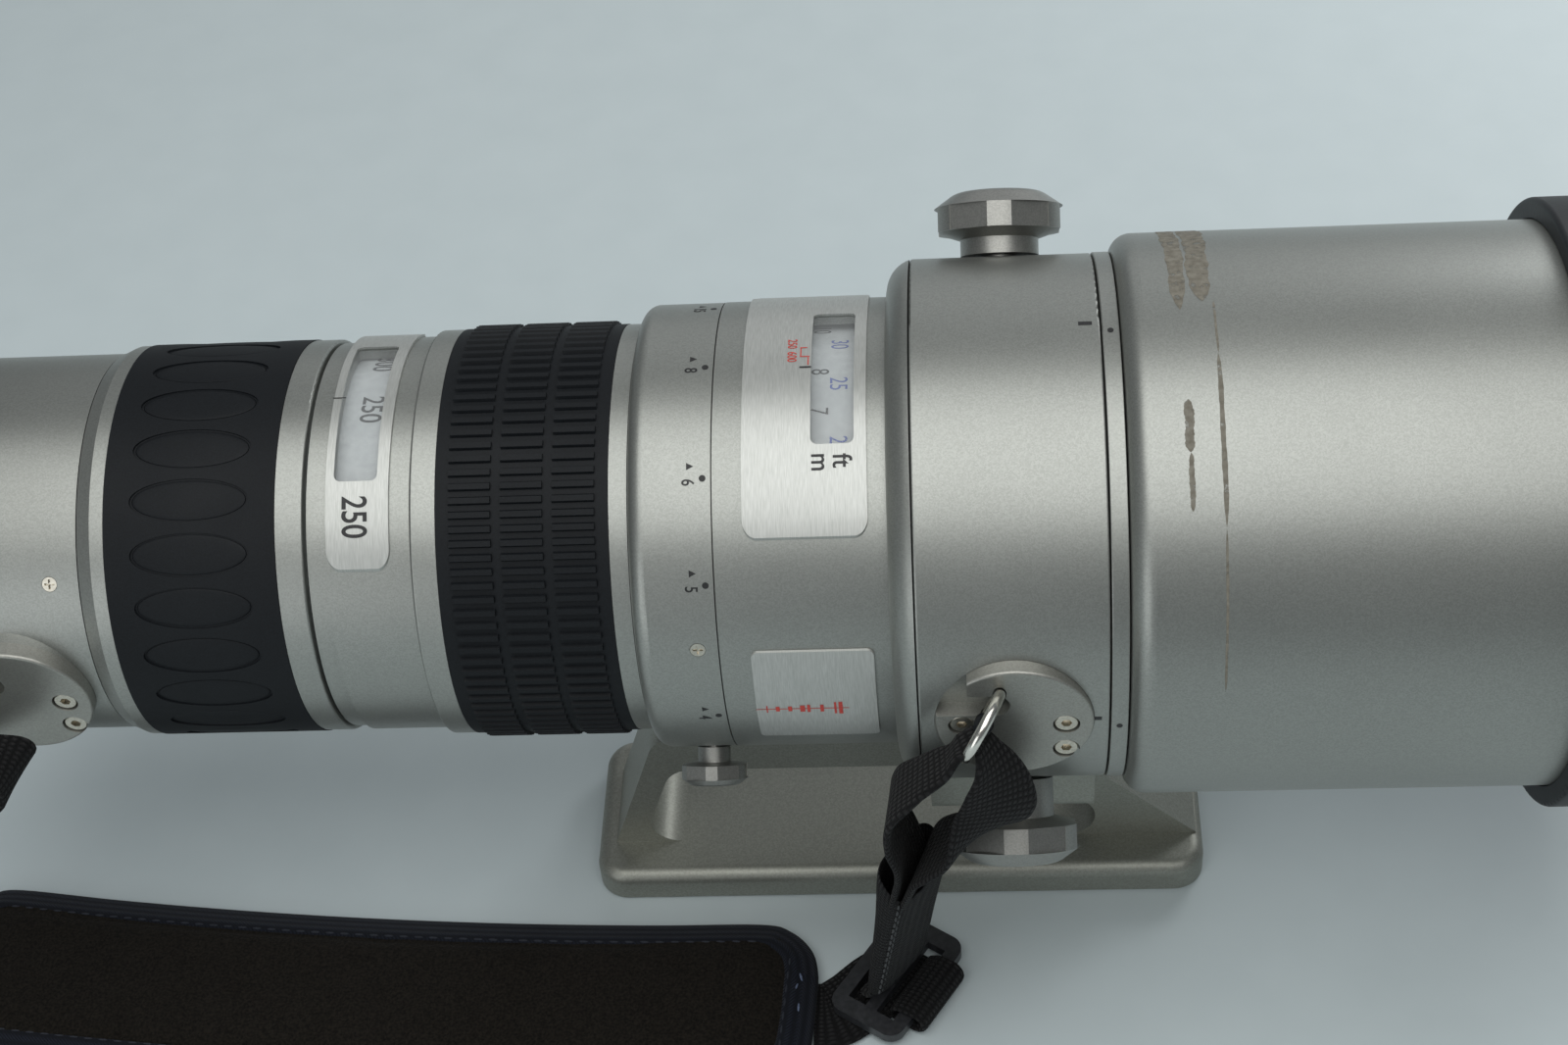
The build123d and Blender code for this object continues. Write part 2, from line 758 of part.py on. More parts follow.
def window_set(carrier, carrier_radius, bore, plate, window):
    """Cut a window in a carrier; returns the carrier, its bright plate and its clear window."""
    plate_start, plate_end, plate_half = plate
    start, end, half = window
    carrier -= patch(start, end, half, carrier_radius + overrun, bore - overrun, window_corner)
    clear = patch(start + window_gap, end - window_gap, half, carrier_radius - window_drop,
                  carrier_radius - window_drop - window_wall, window_corner)
    clear_half = half - window_gap * 180 / pi / carrier_radius
    clear = clear & patch(start, end, clear_half, carrier_radius, bore, window_corner)
    plate_inner = carrier_radius + plate_lift
    bright = patch(plate_start, plate_end, plate_half, plate_inner + plate_wall, plate_inner, plate_corner)
    bright -= patch(start + window_lap, end - window_lap, half - window_lap * 180 / pi / carrier_radius,
                    plate_inner + plate_wall + overrun, plate_inner - overrun, window_corner)
    return carrier, bright, clear


distance_plate_end = flange_rear - distance_plate_front
distance_window_end = flange_rear - distance_window_front
housing, distance_plate, distance_window = window_set(
    housing, housing_radius, housing_bore,
    (distance_plate_end - distance_plate_length, distance_plate_end, distance_plate_half),
    (distance_window_end - distance_window_length, distance_window_end, distance_window_half),
)
zoom_plate_start = mid_rear + zoom_plate_rear
zoom_window_start = mid_rear + zoom_window_rear
mid_barrel, zoom_plate, zoom_window = window_set(
    mid_barrel, mid_radius, mid_bore,
    (zoom_plate_start, zoom_plate_start + zoom_plate_length, zoom_plate_half),
    (zoom_window_start, zoom_window_start + zoom_window_length, zoom_window_half),
)
side_plate_end = flange_rear - side_plate_front
side_plate = patch(side_plate_end - side_plate_length, side_plate_end, side_plate_half,
                   housing_radius + plate_lift + plate_wall, housing_radius + plate_lift, plate_corner / 2)
barrel_side["window_housing"] = housing
barrel_side["distance_plate"] = distance_plate
barrel_side["distance_window"] = distance_window
barrel_side["mid_barrel"] = mid_barrel
barrel_side["zoom_plate"] = zoom_plate
barrel_side["zoom_window"] = zoom_window
barrel_side["side_plate"] = around(side_plate_angle, side_plate)

# Zoom ring: metal ring, rubber sleeve with oval dimples, and the scale drum under its window
zoom_ring = turned((
    (zoom_rear, zoom_bore), (zoom_front - zoom_drum_rear, zoom_bore),
    (zoom_front - zoom_drum_rear, zoom_drum_outer + seat_gap), (zoom_front, zoom_drum_outer + seat_gap),
    (zoom_front, zoom_rim_radius), (zoom_grip_front, zoom_rim_radius), (zoom_grip_front, zoom_seat),
    (zoom_grip_rear, zoom_seat), (zoom_grip_rear, zoom_rim_radius),
    (zoom_rear + zoom_slope_length, zoom_rim_radius), (zoom_rear, zoom_rim_radius - zoom_rear_slope),
), (((zoom_front, zoom_rim_radius), edge_round),))
zoom_grip = ring(zoom_grip_rear + seat_gap, zoom_grip_front - seat_gap, zoom_grip_radius,
    zoom_seat + seat_gap)
oval_place = (zoom_grip_rear + zoom_grip_front) / 2
oval = extrude(Ellipse(oval_half_length, oval_half_width), amount=2 * oval_depth)
zoom_grip = cut_all(zoom_grip, [
    upright(oval, oval_place, zoom_grip_radius - oval_depth,
        index * 360 / oval_count) for index in range(oval_count)
])
zoom_scale = ring(zoom_front - zoom_drum_rear + seat_gap, mid_front - zoom_drum_front, zoom_drum_outer,
                  zoom_drum_outer - zoom_drum_wall)

# Focus ring: metal ring, ribbed rubber sleeve, and the distance drum that runs forward inside
focus_neck_rear = focus_front - drum_neck_length
focus_ring = turned((
    (focus_rear, focus_bore), (focus_neck_rear, focus_bore), (focus_neck_rear, drum_neck_outer + seat_gap),
    (focus_front, drum_neck_outer + seat_gap), (focus_front, focus_rim_radius), (focus_grip_front,
        focus_rim_radius),
    (focus_grip_front, focus_seat), (focus_grip_rear, focus_seat), (focus_grip_rear, focus_rim_radius),
    (focus_rear, focus_rim_radius),
), (((focus_rear, focus_rim_radius), edge_round),))
drum_front = flange_rear - drum_front_gap
drum_turn = focus_front + drum_step
distance_scale = turned((
    (focus_neck_rear + seat_gap, drum_neck_outer - drum_wall), (drum_turn, drum_neck_outer - drum_wall),
    (drum_turn + drum_step, drum_outer - drum_wall), (drum_front, drum_outer - drum_wall), (drum_front,
        drum_outer),
    (drum_turn + drum_step / 2, drum_outer), (drum_turn - drum_step / 2, drum_neck_outer),
    (focus_neck_rear + seat_gap, drum_neck_outer),
))


def toothed(start, length, count, root, height):
    """A disc from a station forward whose rim has a number of flat-topped ribs."""
    step = 2 * pi / count
    points = []
    for index in range(count):
        for share, radius in ((0, root), (0.4, root), (0.5, root + height), (0.9, root + height)):
            angle = (index + share) * step
            points.append((radius * cos(angle), radius * sin(angle)))
    return Pos(start, 0, 0) * Rot(Y=90) * extrude(Polygon(*points, align=None), amount=length)


focus_grip_root = focus_grip_radius - rib_height
grip_start = focus_grip_rear + seat_gap
grip_end = focus_grip_front - seat_gap
focus_grip = ring(grip_start, grip_end, focus_grip_root, focus_seat + seat_gap)
bands_length = rib_bands * rib_band_length + (rib_bands - 1) * rib_band_gap
bands_start = (grip_start + grip_end - bands_length) / 2
for index in range(rib_bands):
    band_start = bands_start + index * (rib_band_length + rib_band_gap)
    band = toothed(band_start, rib_band_length, rib_count, focus_grip_root, rib_height)
    focus_grip += band - ring(band_start - overrun, band_start + rib_band_length + overrun,
                              focus_grip_root - rib_height / 4, 0)

# Limiter ring with its clamping knob
limiter_ring = turned((
    (limiter_rear, limiter_lip), (limiter_rear + limiter_lip_length, limiter_lip),
    (limiter_rear + limiter_lip_length, limiter_bore), (limiter_front, limiter_bore),
    (limiter_front, limiter_radius), (limiter_rear, limiter_radius),
), (((limiter_rear, limiter_radius), limiter_round),))
small_knob_station = limiter_front - small_knob_place
limiter_ring -= upright(post(small_shaft + shaft_gap, limiter_bore - overrun, limiter_radius + overrun),
                        small_knob_station, 0, small_knob_angle)
limiter_screws = []
barrel_screws = []
for index in range(ring_screw_count):
    turn = index * 360 / ring_screw_count
    limiter_seat = (limiter_front - limiter_screw_place, limiter_radius, limiter_screw_angle + turn)
    rear_seat = (rear_front - rear_screw_place, rear_radius, rear_screw_angle + turn)
    limiter_screws.append(upright(cross_screw(), *limiter_seat))
    limiter_ring -= upright(cross_hole(), *limiter_seat)
    barrel_screws.append(upright(cross_screw(), *rear_seat))
    rear_barrel -= upright(cross_hole(), *rear_seat)
small_shaft_length = limiter_radius - limiter_bore + seat_gap
limiter_knob = knob(small_neck, small_shaft, small_rim, small_under, small_cone, small_rim_height, small_crown,
                    small_crown_inset, small_flat_width, small_flat_depth, small_shaft_length)
limiter_knob = upright(limiter_knob, small_knob_station, limiter_radius + running_gap, small_knob_angle)

# Drop-in filter drawer: a plate that slides up out of the barrel, with a cover flush with it
drawer_station = rear_front - drawer_back


def drawer_space(wall, radius, top):
    """The drawer's own outline about its station, grown for its slot where needed."""
    disc = Rot(Y=90) * Cylinder(radius, wall)
    stem = Pos(0, 0, top / 2) * Box(wall, 2 * radius, top)
    return Pos(drawer_station, 0, 0) * (disc + stem)


slot_space = drawer_space(drawer_wall + 2 * running_gap, drawer_radius + running_gap, rear_radius + overrun)
barrel_skin = ring(drawer_station - drawer_wall, drawer_station + drawer_wall, rear_radius, 0)
drawer = drawer_space(drawer_wall, drawer_radius, rear_radius) & barrel_skin
drawer -= Pos(drawer_station, 0, 0) * Rot(Y=90) * Cylinder(drawer_glass + seat_gap, 2 * drawer_wall)
thumb = Box(thumb_wall, 2 * thumb_half_width, 2 * thumb_lift)
drawer += upright(fillet(thumb.edges().filter_by(Axis.Z), thumb_wall / 3), drawer_station, rear_radius, 0)
drawer_filter = Pos(drawer_station, 0, 0) * Rot(Y=90) * Cylinder(drawer_glass, drawer_glass_wall)
drawer_lip = ring(drawer_station - drawer_wall / 2, drawer_station - drawer_glass_wall / 2 - seat_gap,
                  drawer_glass + overrun, drawer_glass - drawer_rail)
drawer += drawer_lip
main_tube -= slot_space
rear_barrel -= slot_space
rear_lug_seat = rear_lug_face - lug_wall
rear_boss_wall = rear_lug_seat - (rear_radius ** 2 - lug_radius ** 2) ** (1 / 2)
rear_boss = disc_at(rear_lug_station, rear_lug_seat, rear_boss_wall, lug_radius)
rear_boss -= Pos(rear_lug_station, 0, 0) * Rot(Y=90) * Cylinder(rear_barrel_bore, 3 * lug_radius)
rear_barrel = rear_barrel + rear_boss - disc_at(rear_lug_station, rear_lug_face, lug_wall,
    lug_radius + seat_gap)
rear_barrel = cut_all(rear_barrel, rear_lug_holes)
barrel_side["main_tube"] = main_tube
barrel_side["rear_barrel"] = rear_barrel
barrel_side["barrel_screws"] = group(barrel_screws)

# Camera end: rear frame, aperture ring, bayonet with claws, screws and contacts
frame_front = drawer_station - drawer_wall / 2 - 2 * running_gap
rear_frame = turned((
    (base_rear, frame_bore), (frame_front - frame_lip, frame_bore), (frame_front - frame_lip,
        frame_lip_bore),
    (frame_front, frame_lip_bore), (frame_front, tube_bore - seat_gap),
    (frame_front - frame_flange, tube_bore - seat_gap), (frame_front - frame_flange, sleeve_radius),
    (base_front, sleeve_radius), (base_front, base_radius), (base_rear, base_radius),
))
aperture_ring = ring(aperture_rear, aperture_front, aperture_radius - aperture_rib_height,
                     sleeve_radius + running_gap, edge_round)
aperture_band_start = (aperture_rear + aperture_front - aperture_rib_length) / 2
aperture_band = toothed(aperture_band_start, aperture_rib_length, aperture_ribs,
                        aperture_radius - aperture_rib_height, aperture_rib_height)
aperture_ring += aperture_band - ring(aperture_rear, aperture_front,
                                      aperture_radius - aperture_rib_height * 3 / 2, 0)
bayonet = turned((
    (throat_rear, throat_inner), (base_rear, throat_inner), (base_rear, mount_radius), (mount_rear,
        mount_radius),
    (mount_rear, throat_outer), (throat_rear, throat_outer),
))
claw_face = Polygon((throat_rear, throat_outer - overrun), (throat_rear + claw_length,
    throat_outer - overrun),
                    (throat_rear + claw_length, claw_radius), (throat_rear, claw_radius), align=None)
for index in range(claw_count):
    bayonet += around(index * 360 / claw_count, revolve(claw_face, Axis.X, claw_angle))
mount_screws = []
for index in range(mount_screw_count):
    seat = around((index + 1 / 2) * 360 / mount_screw_count, Pos(mount_rear, 0,
        mount_screw_circle) * Rot(Y=-90))
    mount_screws.append(seat * cross_screw())
    bayonet -= seat * cross_hole()
contacts = []
for index in range(contact_count):
    angle = (index - (contact_count - 1) / 2) * contact_pitch
    seat = around(angle, Pos(mount_rear, 0, contact_circle) * Rot(Y=-90))
    contacts.append(seat * post(contact_radius, -contact_length, contact_lift))
    bayonet -= seat * post(contact_radius + seat_gap, -contact_length - seat_gap, overrun)
rear_elements = []
rear_glass_pitch = rear_glass_wall + 2 * rear_glass_bow + rear_glass_drop
for index in range(2):
    front = frame_front - frame_lip - seat_gap - rear_glass_bow - index * rear_glass_pitch
    rear_elements.append(lens_element(front, rear_glass_wall, frame_bore - seat_gap, rear_glass_bow))
barrel_side["rear_frame"] = rear_frame
barrel_side["bayonet_mount"] = bayonet
barrel_side["mount_screws"] = group(mount_screws)
barrel_side["mount_contacts"] = group(contacts)
barrel_side["rear_elements"] = group(rear_elements)

# Iris: a housing with a stack of curved blades, drawn back to full aperture
iris_front = collar_rear - iris_back
iris_rear = iris_front - iris_length
iris_outer = tube_bore - seat_gap
iris_housing = turned((
    (iris_rear, iris_bore), (iris_front, iris_bore), (iris_front, iris_outer), (iris_rear, iris_outer),
)) - ring(iris_rear + iris_wall, iris_front - iris_wall, iris_outer - iris_wall, iris_bore - overrun)
blades = []
for index in range(blade_count):
    start = iris_rear + iris_wall + seat_gap + (index + 1) * blade_pitch
    blade_face = Polygon((start, blade_inner), (start + blade_wall, blade_inner),
                         (start + blade_wall, iris_outer - iris_wall - seat_gap),
                         (start, iris_outer - iris_wall - seat_gap), align=None)
    blades.append(around(index * 360 / blade_count, revolve(blade_face, Axis.X, blade_arc)))
barrel_side["iris_unit"] = group([iris_housing] + blades)

# Front cell with the filter thread, and the large front elements
cell_rear = front_front - cell_length
cell_outer = front_radius - front_wall - seat_gap
front_cell = turned((
    (cell_rear, cell_lip_bore), (cell_rear + cell_lip, cell_lip_bore), (cell_rear + cell_lip, cell_bore),
    (front_front - filter_thread_length, cell_bore), (front_front - filter_thread_length, filter_bore),
    (front_front, filter_bore), (front_front, cell_outer), (cell_rear, cell_outer),
))
front_elements = [
    lens_element(front_front - front_glass_drop, front_glass_wall, cell_bore - seat_gap, front_glass_bow),
    lens_element(front_front - second_glass_drop, second_glass_wall, cell_bore - seat_gap,
        second_glass_bow),
]
barrel_side["front_cell"] = front_cell
barrel_side["front_elements"] = group(front_elements)


def carriage(front, length):
    """A sliding cell and its two lens elements, from its front station back."""
    rear = front - length
    outer = tube_bore - running_gap
    cell = turned((
        (rear, carriage_lip_bore), (rear + carriage_lip, carriage_lip_bore), (rear + carriage_lip,
            carriage_bore),
        (front, carriage_bore), (front, outer), (rear, outer),
    ))
    wall = length * group_wall_share
    bow = length * group_bow_share
    glass_radius = carriage_bore - seat_gap
    over_lip = bow * (1 - (carriage_lip_bore / glass_radius) ** 2)
    glass = [
        lens_element(front - bow, wall, glass_radius, bow),
        lens_element(rear + carriage_lip + over_lip + seat_gap + wall, wall, glass_radius, bow),
    ]
    return cell, group(glass)


groups = {
    "focus": carriage(collar_rear - focus_carriage_back, focus_carriage_length),
    "variator": carriage(collar_rear - variator_back, variator_length),
    "compensator": carriage(collar_rear - compensator_back, compensator_length),
}
for name, (cell, glass) in groups.items():
    barrel_side[name + "_carriage"] = cell
    barrel_side[name + "_elements"] = glass

# Slip-on cap over the front
cap_front = front_front + running_gap + cap_face
cap_seat = front_front + running_gap
front_cap = Pos((cap_rear + cap_front) / 2, 0, 0) * Rot(Y=90) * Cylinder(cap_radius, cap_front - cap_rear)
front_cap = fillet(front_cap.edges().group_by(Axis.X)[-1], cap_face / 2)
front_cap = fillet(front_cap.edges().group_by(Axis.X)[0], cap_face / 4)
front_cap -= Pos(cap_seat - cap_overlap, 0, 0) * Rot(Y=90) * Cylinder(front_radius + running_gap,
    2 * cap_overlap)
barrel_side.update({
    "zoom_ring": zoom_ring, "zoom_grip": zoom_grip, "zoom_scale": zoom_scale, "focus_ring": focus_ring,
    "focus_grip": focus_grip, "distance_scale": distance_scale, "limiter_ring": limiter_ring,
    "limiter_screws": group(limiter_screws), "limiter_knob": limiter_knob, "aperture_ring": aperture_ring,
    "filter_drawer": drawer, "drawer_filter": drawer_filter, "front_cap": front_cap,
})

# Strap webbing from the front link to the keeper: two leaves of one loop
link_low = front_link_plane.origin + Vector(*link_down_shares).normalized() * link_radius
strap_top = Vector(link_low.X, link_low.Y, link_low.Z + axis_height)
guard_outer = link_wire + seat_gap + guard_wall
guard_rise = link_radius - (link_radius ** 2 - (web_neck / 2) ** 2) ** (1 / 2)
turn_reach = guard_outer + guard_rise + web_gap + web_wall / 2
link_normal = Vector(*link_normal_shares).normalized()
link_down = Vector(*link_down_shares).normalized()
link_along = link_normal.cross(link_down)


def leaf(shares):
    """Stations of one leaf below the link."""
    stations = []
    for side_share, drop_share in shares:
        drop = drop_share * leaf_drop
        lean = drop_share ** 2 * strap_lean
        point = (strap_top.X + side_share * leaf_spread, strap_top.Y + lean, strap_top.Z - drop)
        width = web_neck + (web_width - web_neck) * min(1, 2 * drop_share)
        blend = min(1, drop_share) ** 2
        across = Vector(*leaf_across_shares) * (1 - blend) + Vector(*keeper_across_shares) * blend
        stations.append((point, (across.X, across.Y, across.Z), width))
    return stations


turn_stations = []
for degrees_round in (-60, -20, 20, 60):
    reach = link_normal * (sin(radians(degrees_round)) * turn_reach) - link_down * (
        cos(radians(degrees_round)) * turn_reach)
    point = strap_top + reach
    turn_stations.append(((point.X, point.Y, point.Z), (link_along.X, link_along.Y, link_along.Z),
        web_neck))
front_loop = list(reversed(leaf(left_leaf_shares))) + turn_stations + leaf(right_leaf_shares)
sole_side["strap_web_front"] = ribbon(front_loop, web_wall)
slider_x = strap_top.X - slider_back
slider_y = strap_top.Y + slider_in
slider_top = slider_lift + slider_wall
keeper_head = Vector(strap_top.X - gather_back, strap_top.Y + strap_lean, strap_top.Z - leaf_drop)
keeper_foot = Vector(slider_x, slider_y, slider_top + web_gap)


def keeper_section(point, wall, lean):
    """A cross-section of the keeper, tipped towards the axis by a share of its height."""
    up = Vector(0, -lean, 1)
    side = Vector(*keeper_across_shares)
    side = side - up.normalized() * side.dot(up.normalized())
    return Plane(origin=point, x_dir=side, z_dir=up) * RectangleRounded(keeper_width, wall, wall / 3)


sole_side["strap_keeper"] = loft([keeper_section(keeper_foot, keeper_foot_wall, 0),
                                  keeper_section(keeper_head, keeper_wall, keeper_lean_share)], ruled=True)
slider_seat = Pos(slider_x, slider_y, slider_lift + slider_wall / 2) * Rot(Z=slider_turn)
slider = Box(slider_length, slider_width, slider_wall)
slider = fillet(slider.edges().filter_by(Axis.Z), slider_round)
slot_offset = (slider_rail + slider_slot) / 2
for side in (-1, 1):
    slider -= Pos(0, side * slot_offset, 0) * Box(slider_length - 3 * slider_rail, slider_slot,
        2 * slider_wall)
sole_side["strap_slider"] = slider_seat * slider

# Pad and the braid round it, on the ground beside the lens
pad_end = pad_length / 2
pad_seat = Pos(-pad_front - pad_end, -pad_side, 0) * Rot(Z=pad_turn)
half_width = pad_width / 2
pad_outline = make_face([
    ThreePointArc((-pad_end, half_width), (0, half_width - pad_bow), (pad_end, half_width)),
    Line((pad_end, half_width), (pad_end, -half_width)),
    ThreePointArc((pad_end, -half_width), (0, -half_width - pad_bow), (-pad_end, -half_width)),
    Line((-pad_end, -half_width), (-pad_end, half_width)),
])
pad_outline = fillet(pad_outline.vertices(), pad_corner)
inner_outline = offset(pad_outline, amount=-binding_width)
core_outline = offset(pad_outline, amount=-binding_width - seat_gap)
binding = extrude(pad_outline, amount=binding_wall) - extrude(inner_outline, amount=binding_wall)
binding = fillet(binding.faces().sort_by(Axis.Z)[-1].outer_wire().edges(), binding_round)
pad = extrude(core_outline, amount=pad_wall)
pad = fillet(pad.faces().sort_by(Axis.Z)[-1].edges(), pad_top_round)
sole_side["pad_binding"] = pad_seat * binding
sole_side["strap_pad"] = pad_seat * pad

# Webbing under the slider to the pad, and the loop from the pad's other end up to the rear link
web_middle = web_gap + web_wall / 2
pad_across = (-sin(radians(pad_turn)), cos(radians(pad_turn)), 0)


def pad_station(reach, width):
    """A station of webbing on the pad's middle line, beyond its front end or behind its rear end."""
    place = (pad_seat * Pos(reach, 0, web_middle)).position
    return (place.X, place.Y, place.Z), pad_across, width


across_slider = Vector(*keeper_across_shares)
run_out = Vector(across_slider.Y, -across_slider.X, 0) * adjuster_reach
sole_side["strap_web_adjuster"] = ribbon((
    ((slider_x + run_out.X, slider_y + run_out.Y, web_middle), keeper_across_shares, web_width),
    ((slider_x, slider_y, web_middle), keeper_across_shares, web_width),
    pad_station(pad_end + web_gap + web_run, web_width),
    pad_station(pad_end + web_gap, web_width),
), web_wall)
rear_low = rear_link_plane.origin + Vector(*link_down_shares).normalized() * (
    link_radius + link_wire + 2 * web_gap + web_wall)
rear_top = (Pos(0, 0, axis_height) * Rot(X=barrel_roll) * Pos(rear_low.X, rear_low.Y, rear_low.Z)).position
rear_start = pad_station(-pad_end - web_gap, web_width)
rear_stations = [rear_start, pad_station(-pad_end - web_gap - web_run, web_width)]
for along, aside, up in rear_web_shares:
    point = (rear_start[0][0] + along * rear_web_loop,
        rear_start[0][1] + aside * (rear_top.Y - rear_start[0][1]),
             max(up * rear_top.Z, web_middle))
    rear_stations.append((point, (0, 1, 0), web_width))
rear_stations.append(((rear_top.X, rear_top.Y, rear_top.Z), (0, 1, 0), web_neck))
sole_side["strap_web_rear"] = ribbon(rear_stations, web_wall)

# Write every piece in the row's frame
lift = Pos(0, 0, axis_height)
for name, shape in collar_side.items():
    export_step(lift * shape, "parts/" + name + ".step")
for name, shape in barrel_side.items():
    export_step(lift * Rot(X=barrel_roll) * shape, "parts/" + name + ".step")
for name, shape in sole_side.items():
    export_step(shape, "parts/" + name + ".step")
print("pieces:", len(collar_side) + len(barrel_side) + len(sole_side))
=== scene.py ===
# %% [markdown]
# # A long camera zoom lens, dressed for its picture
# The metal, glass and moving parts of this lens come from a CAD model. Here each of them gets its
# finish, and the pieces that CAD makes badly are modelled: woven webbing, a padded strap, printed
# figures. Everything is in metres, in the CAD model's own frame: X runs along the optical axis to
# the subject, Z is up, and the tripod foot stands on Z = 0.

# %% Load the CAD parts
from math import cos, pi, radians, sin

import bpy
from mathutils import Matrix, Vector


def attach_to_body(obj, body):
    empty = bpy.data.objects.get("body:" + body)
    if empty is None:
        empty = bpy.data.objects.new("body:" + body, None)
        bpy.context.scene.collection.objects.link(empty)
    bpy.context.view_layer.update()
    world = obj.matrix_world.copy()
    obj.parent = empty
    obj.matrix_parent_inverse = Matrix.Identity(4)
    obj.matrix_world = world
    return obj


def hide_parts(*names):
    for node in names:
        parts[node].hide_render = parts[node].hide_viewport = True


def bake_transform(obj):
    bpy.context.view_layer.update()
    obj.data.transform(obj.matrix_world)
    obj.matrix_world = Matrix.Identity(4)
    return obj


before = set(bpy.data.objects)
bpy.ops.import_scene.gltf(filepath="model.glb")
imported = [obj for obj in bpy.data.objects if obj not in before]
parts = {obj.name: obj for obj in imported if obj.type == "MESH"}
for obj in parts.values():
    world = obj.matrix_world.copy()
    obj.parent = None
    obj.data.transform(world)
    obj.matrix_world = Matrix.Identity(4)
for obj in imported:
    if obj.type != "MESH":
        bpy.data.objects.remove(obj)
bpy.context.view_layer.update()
mm = 0.001

# %% [markdown]
# ## The camera
# The picture was taken from above the near side, with a normal lens. The camera looks at the
# barrel from 47 degrees above the table. It is placed by its height angle and its distance from the
# optical axis, as a photographer would say it, and then panned and tipped by two small turns.

# %% Place the camera
axis_height = 121 * mm
view_height = radians(47.1)
view_distance = 605.5 * mm
view_station = 23.25 * mm
view_pan = radians(4.325)
view_tip = radians(1.559)
sensor_width = 36.0     # these two in millimetres, as Blender's camera wants them
focal_length = 58.606
outward = Vector((0, -cos(view_height), sin(view_height)))
forward = -outward
right = Vector((1, 0, 0))
up = Vector((0, sin(view_height), cos(view_height)))
turn = Matrix.Rotation(view_pan, 3, up)
forward, right = turn @ forward, turn @ right
turn = Matrix.Rotation(view_tip, 3, forward)
right, up = turn @ right, turn @ up
bpy.ops.object.camera_add()
camera = bpy.context.object
camera.matrix_world = Matrix((
    (right.x, up.x, -forward.x, view_station),
    (right.y, up.y, -forward.y, outward.y * view_distance),
    (right.z, up.z, -forward.z, axis_height + outward.z * view_distance),
    (0, 0, 0, 1),
))
camera.data.sensor_width = sensor_width
camera.data.lens = focal_length
camera.data.dof.use_dof = False
bpy.context.scene.camera = camera
bpy.context.scene.view_settings.view_transform = "Standard"
print("camera at", tuple(round(value, 3) for value in camera.location))

# %% [markdown]
# ## Helpers for materials
# A finish is never one flat colour. Each one starts from the principled shader and gets its grain
# from noise: noise mixes two near colours, moves the roughness a little, and lifts the surface by
# a few hundredths of a millimetre at most. Noise reads object coordinates, so it stays on the piece.

# %% Start a material, and give it grain


def new_finish(name, metallic=0.0, **constants):
    """A material with its shader; the other values are set on the shader's own sockets."""
    made = bpy.data.materials.new(name)
    made.use_nodes = True
    shader = made.node_tree.nodes["Principled BSDF"]
    shader.inputs["Metallic"].default_value = metallic
    for socket, value in constants.items():
        shader.inputs[socket.replace("_", " ")].default_value = value
    return made, shader


def add(made, kind, **values):
    """A node in a material; a value goes to its attribute of that name, or else to its socket."""
    node = made.node_tree.nodes.new(kind)
    for key, value in values.items():
        if hasattr(node, key):
            setattr(node, key, value)
        else:
            node.inputs[key.replace("_", " ")].default_value = value
    return node


def wire(made, start, end):
    made.node_tree.links.new(start, end)


def noise(made, size, stretch=(1, 1, 1), detail=3):
    """Noise whose lumps are about size metres across; stretch over 1 makes them finer along that axis."""
    place = add(made, "ShaderNodeTexCoord")
    mapping = add(made, "ShaderNodeMapping")
    mapping.inputs["Scale"].default_value = stretch
    lumps = add(made, "ShaderNodeTexNoise", Scale=1 / size, Detail=detail)
    wire(made, place.outputs["Object"], mapping.inputs["Vector"])
    wire(made, mapping.outputs["Vector"], lumps.inputs["Vector"])
    return lumps.outputs["Fac"]


def between(made, factor, low, high, start=0.3, end=0.7):
    """A colour that runs from low to high as the factor runs from start to end."""
    ramp = add(made, "ShaderNodeValToRGB")
    ramp.color_ramp.elements[0].position = start
    ramp.color_ramp.elements[1].position = end
    ramp.color_ramp.elements[0].color = (*low, 1)
    ramp.color_ramp.elements[1].color = (*high, 1)
    wire(made, factor, ramp.inputs["Fac"])
    return ramp.outputs["Color"]


def number(made, factor, low, high):
    """A number that runs from low to high with the factor."""
    spread = add(made, "ShaderNodeMapRange")
    spread.inputs["To Min"].default_value = low
    spread.inputs["To Max"].default_value = high
    wire(made, factor, spread.inputs["Value"])
    return spread.outputs["Result"]


def relief(made, shader, factor, depth, strength=1.0, below=None):
    """A bump of a depth in metres; below is the normal of a coarser bump that it lies on."""
    bump = add(made, "ShaderNodeBump", Distance=depth, Strength=strength)
    wire(made, factor, bump.inputs["Height"])
    if below is not None:
        wire(made, below, bump.inputs["Normal"])
    wire(made, bump.outputs["Normal"], shader.inputs["Normal"])
    return bump.outputs["Normal"]


def grained(name, low, high, size, rough, depth, metallic=0.0, stretch=(1, 1, 1), broad=0.02,
            **constants):
    """A finish with fine grain of a size and depth over broad, faint patches; lengths in metres."""
    made, shader = new_finish(name, metallic, **constants)
    fine = noise(made, size, stretch)
    patches = noise(made, broad, detail=2)
    wire(made, between(made, fine, low, high), shader.inputs["Base Color"])
    wire(made, number(made, patches, *rough), shader.inputs["Roughness"])
    relief(made, shader, fine, depth)
    return made


print("material helpers ready")

# %% [markdown]
# ## The barrel's champagne enamel
# The barrel has a metallic enamel. Tiny flakes in it catch the light one by one, so from near it
# looks like fine sand. Flakes are cells of a Voronoi texture, each with its own shade, and a soft
# orange peel lies over them.

# %% Make the enamel and its variants
enamel_metal = 0.85
cloud_size = 30 * mm
peel_size = 1.2 * mm
peel_depth, peel_strength = 0.012 * mm, 0.6
flake_depth, flake_strength = 0.006 * mm, 0.5


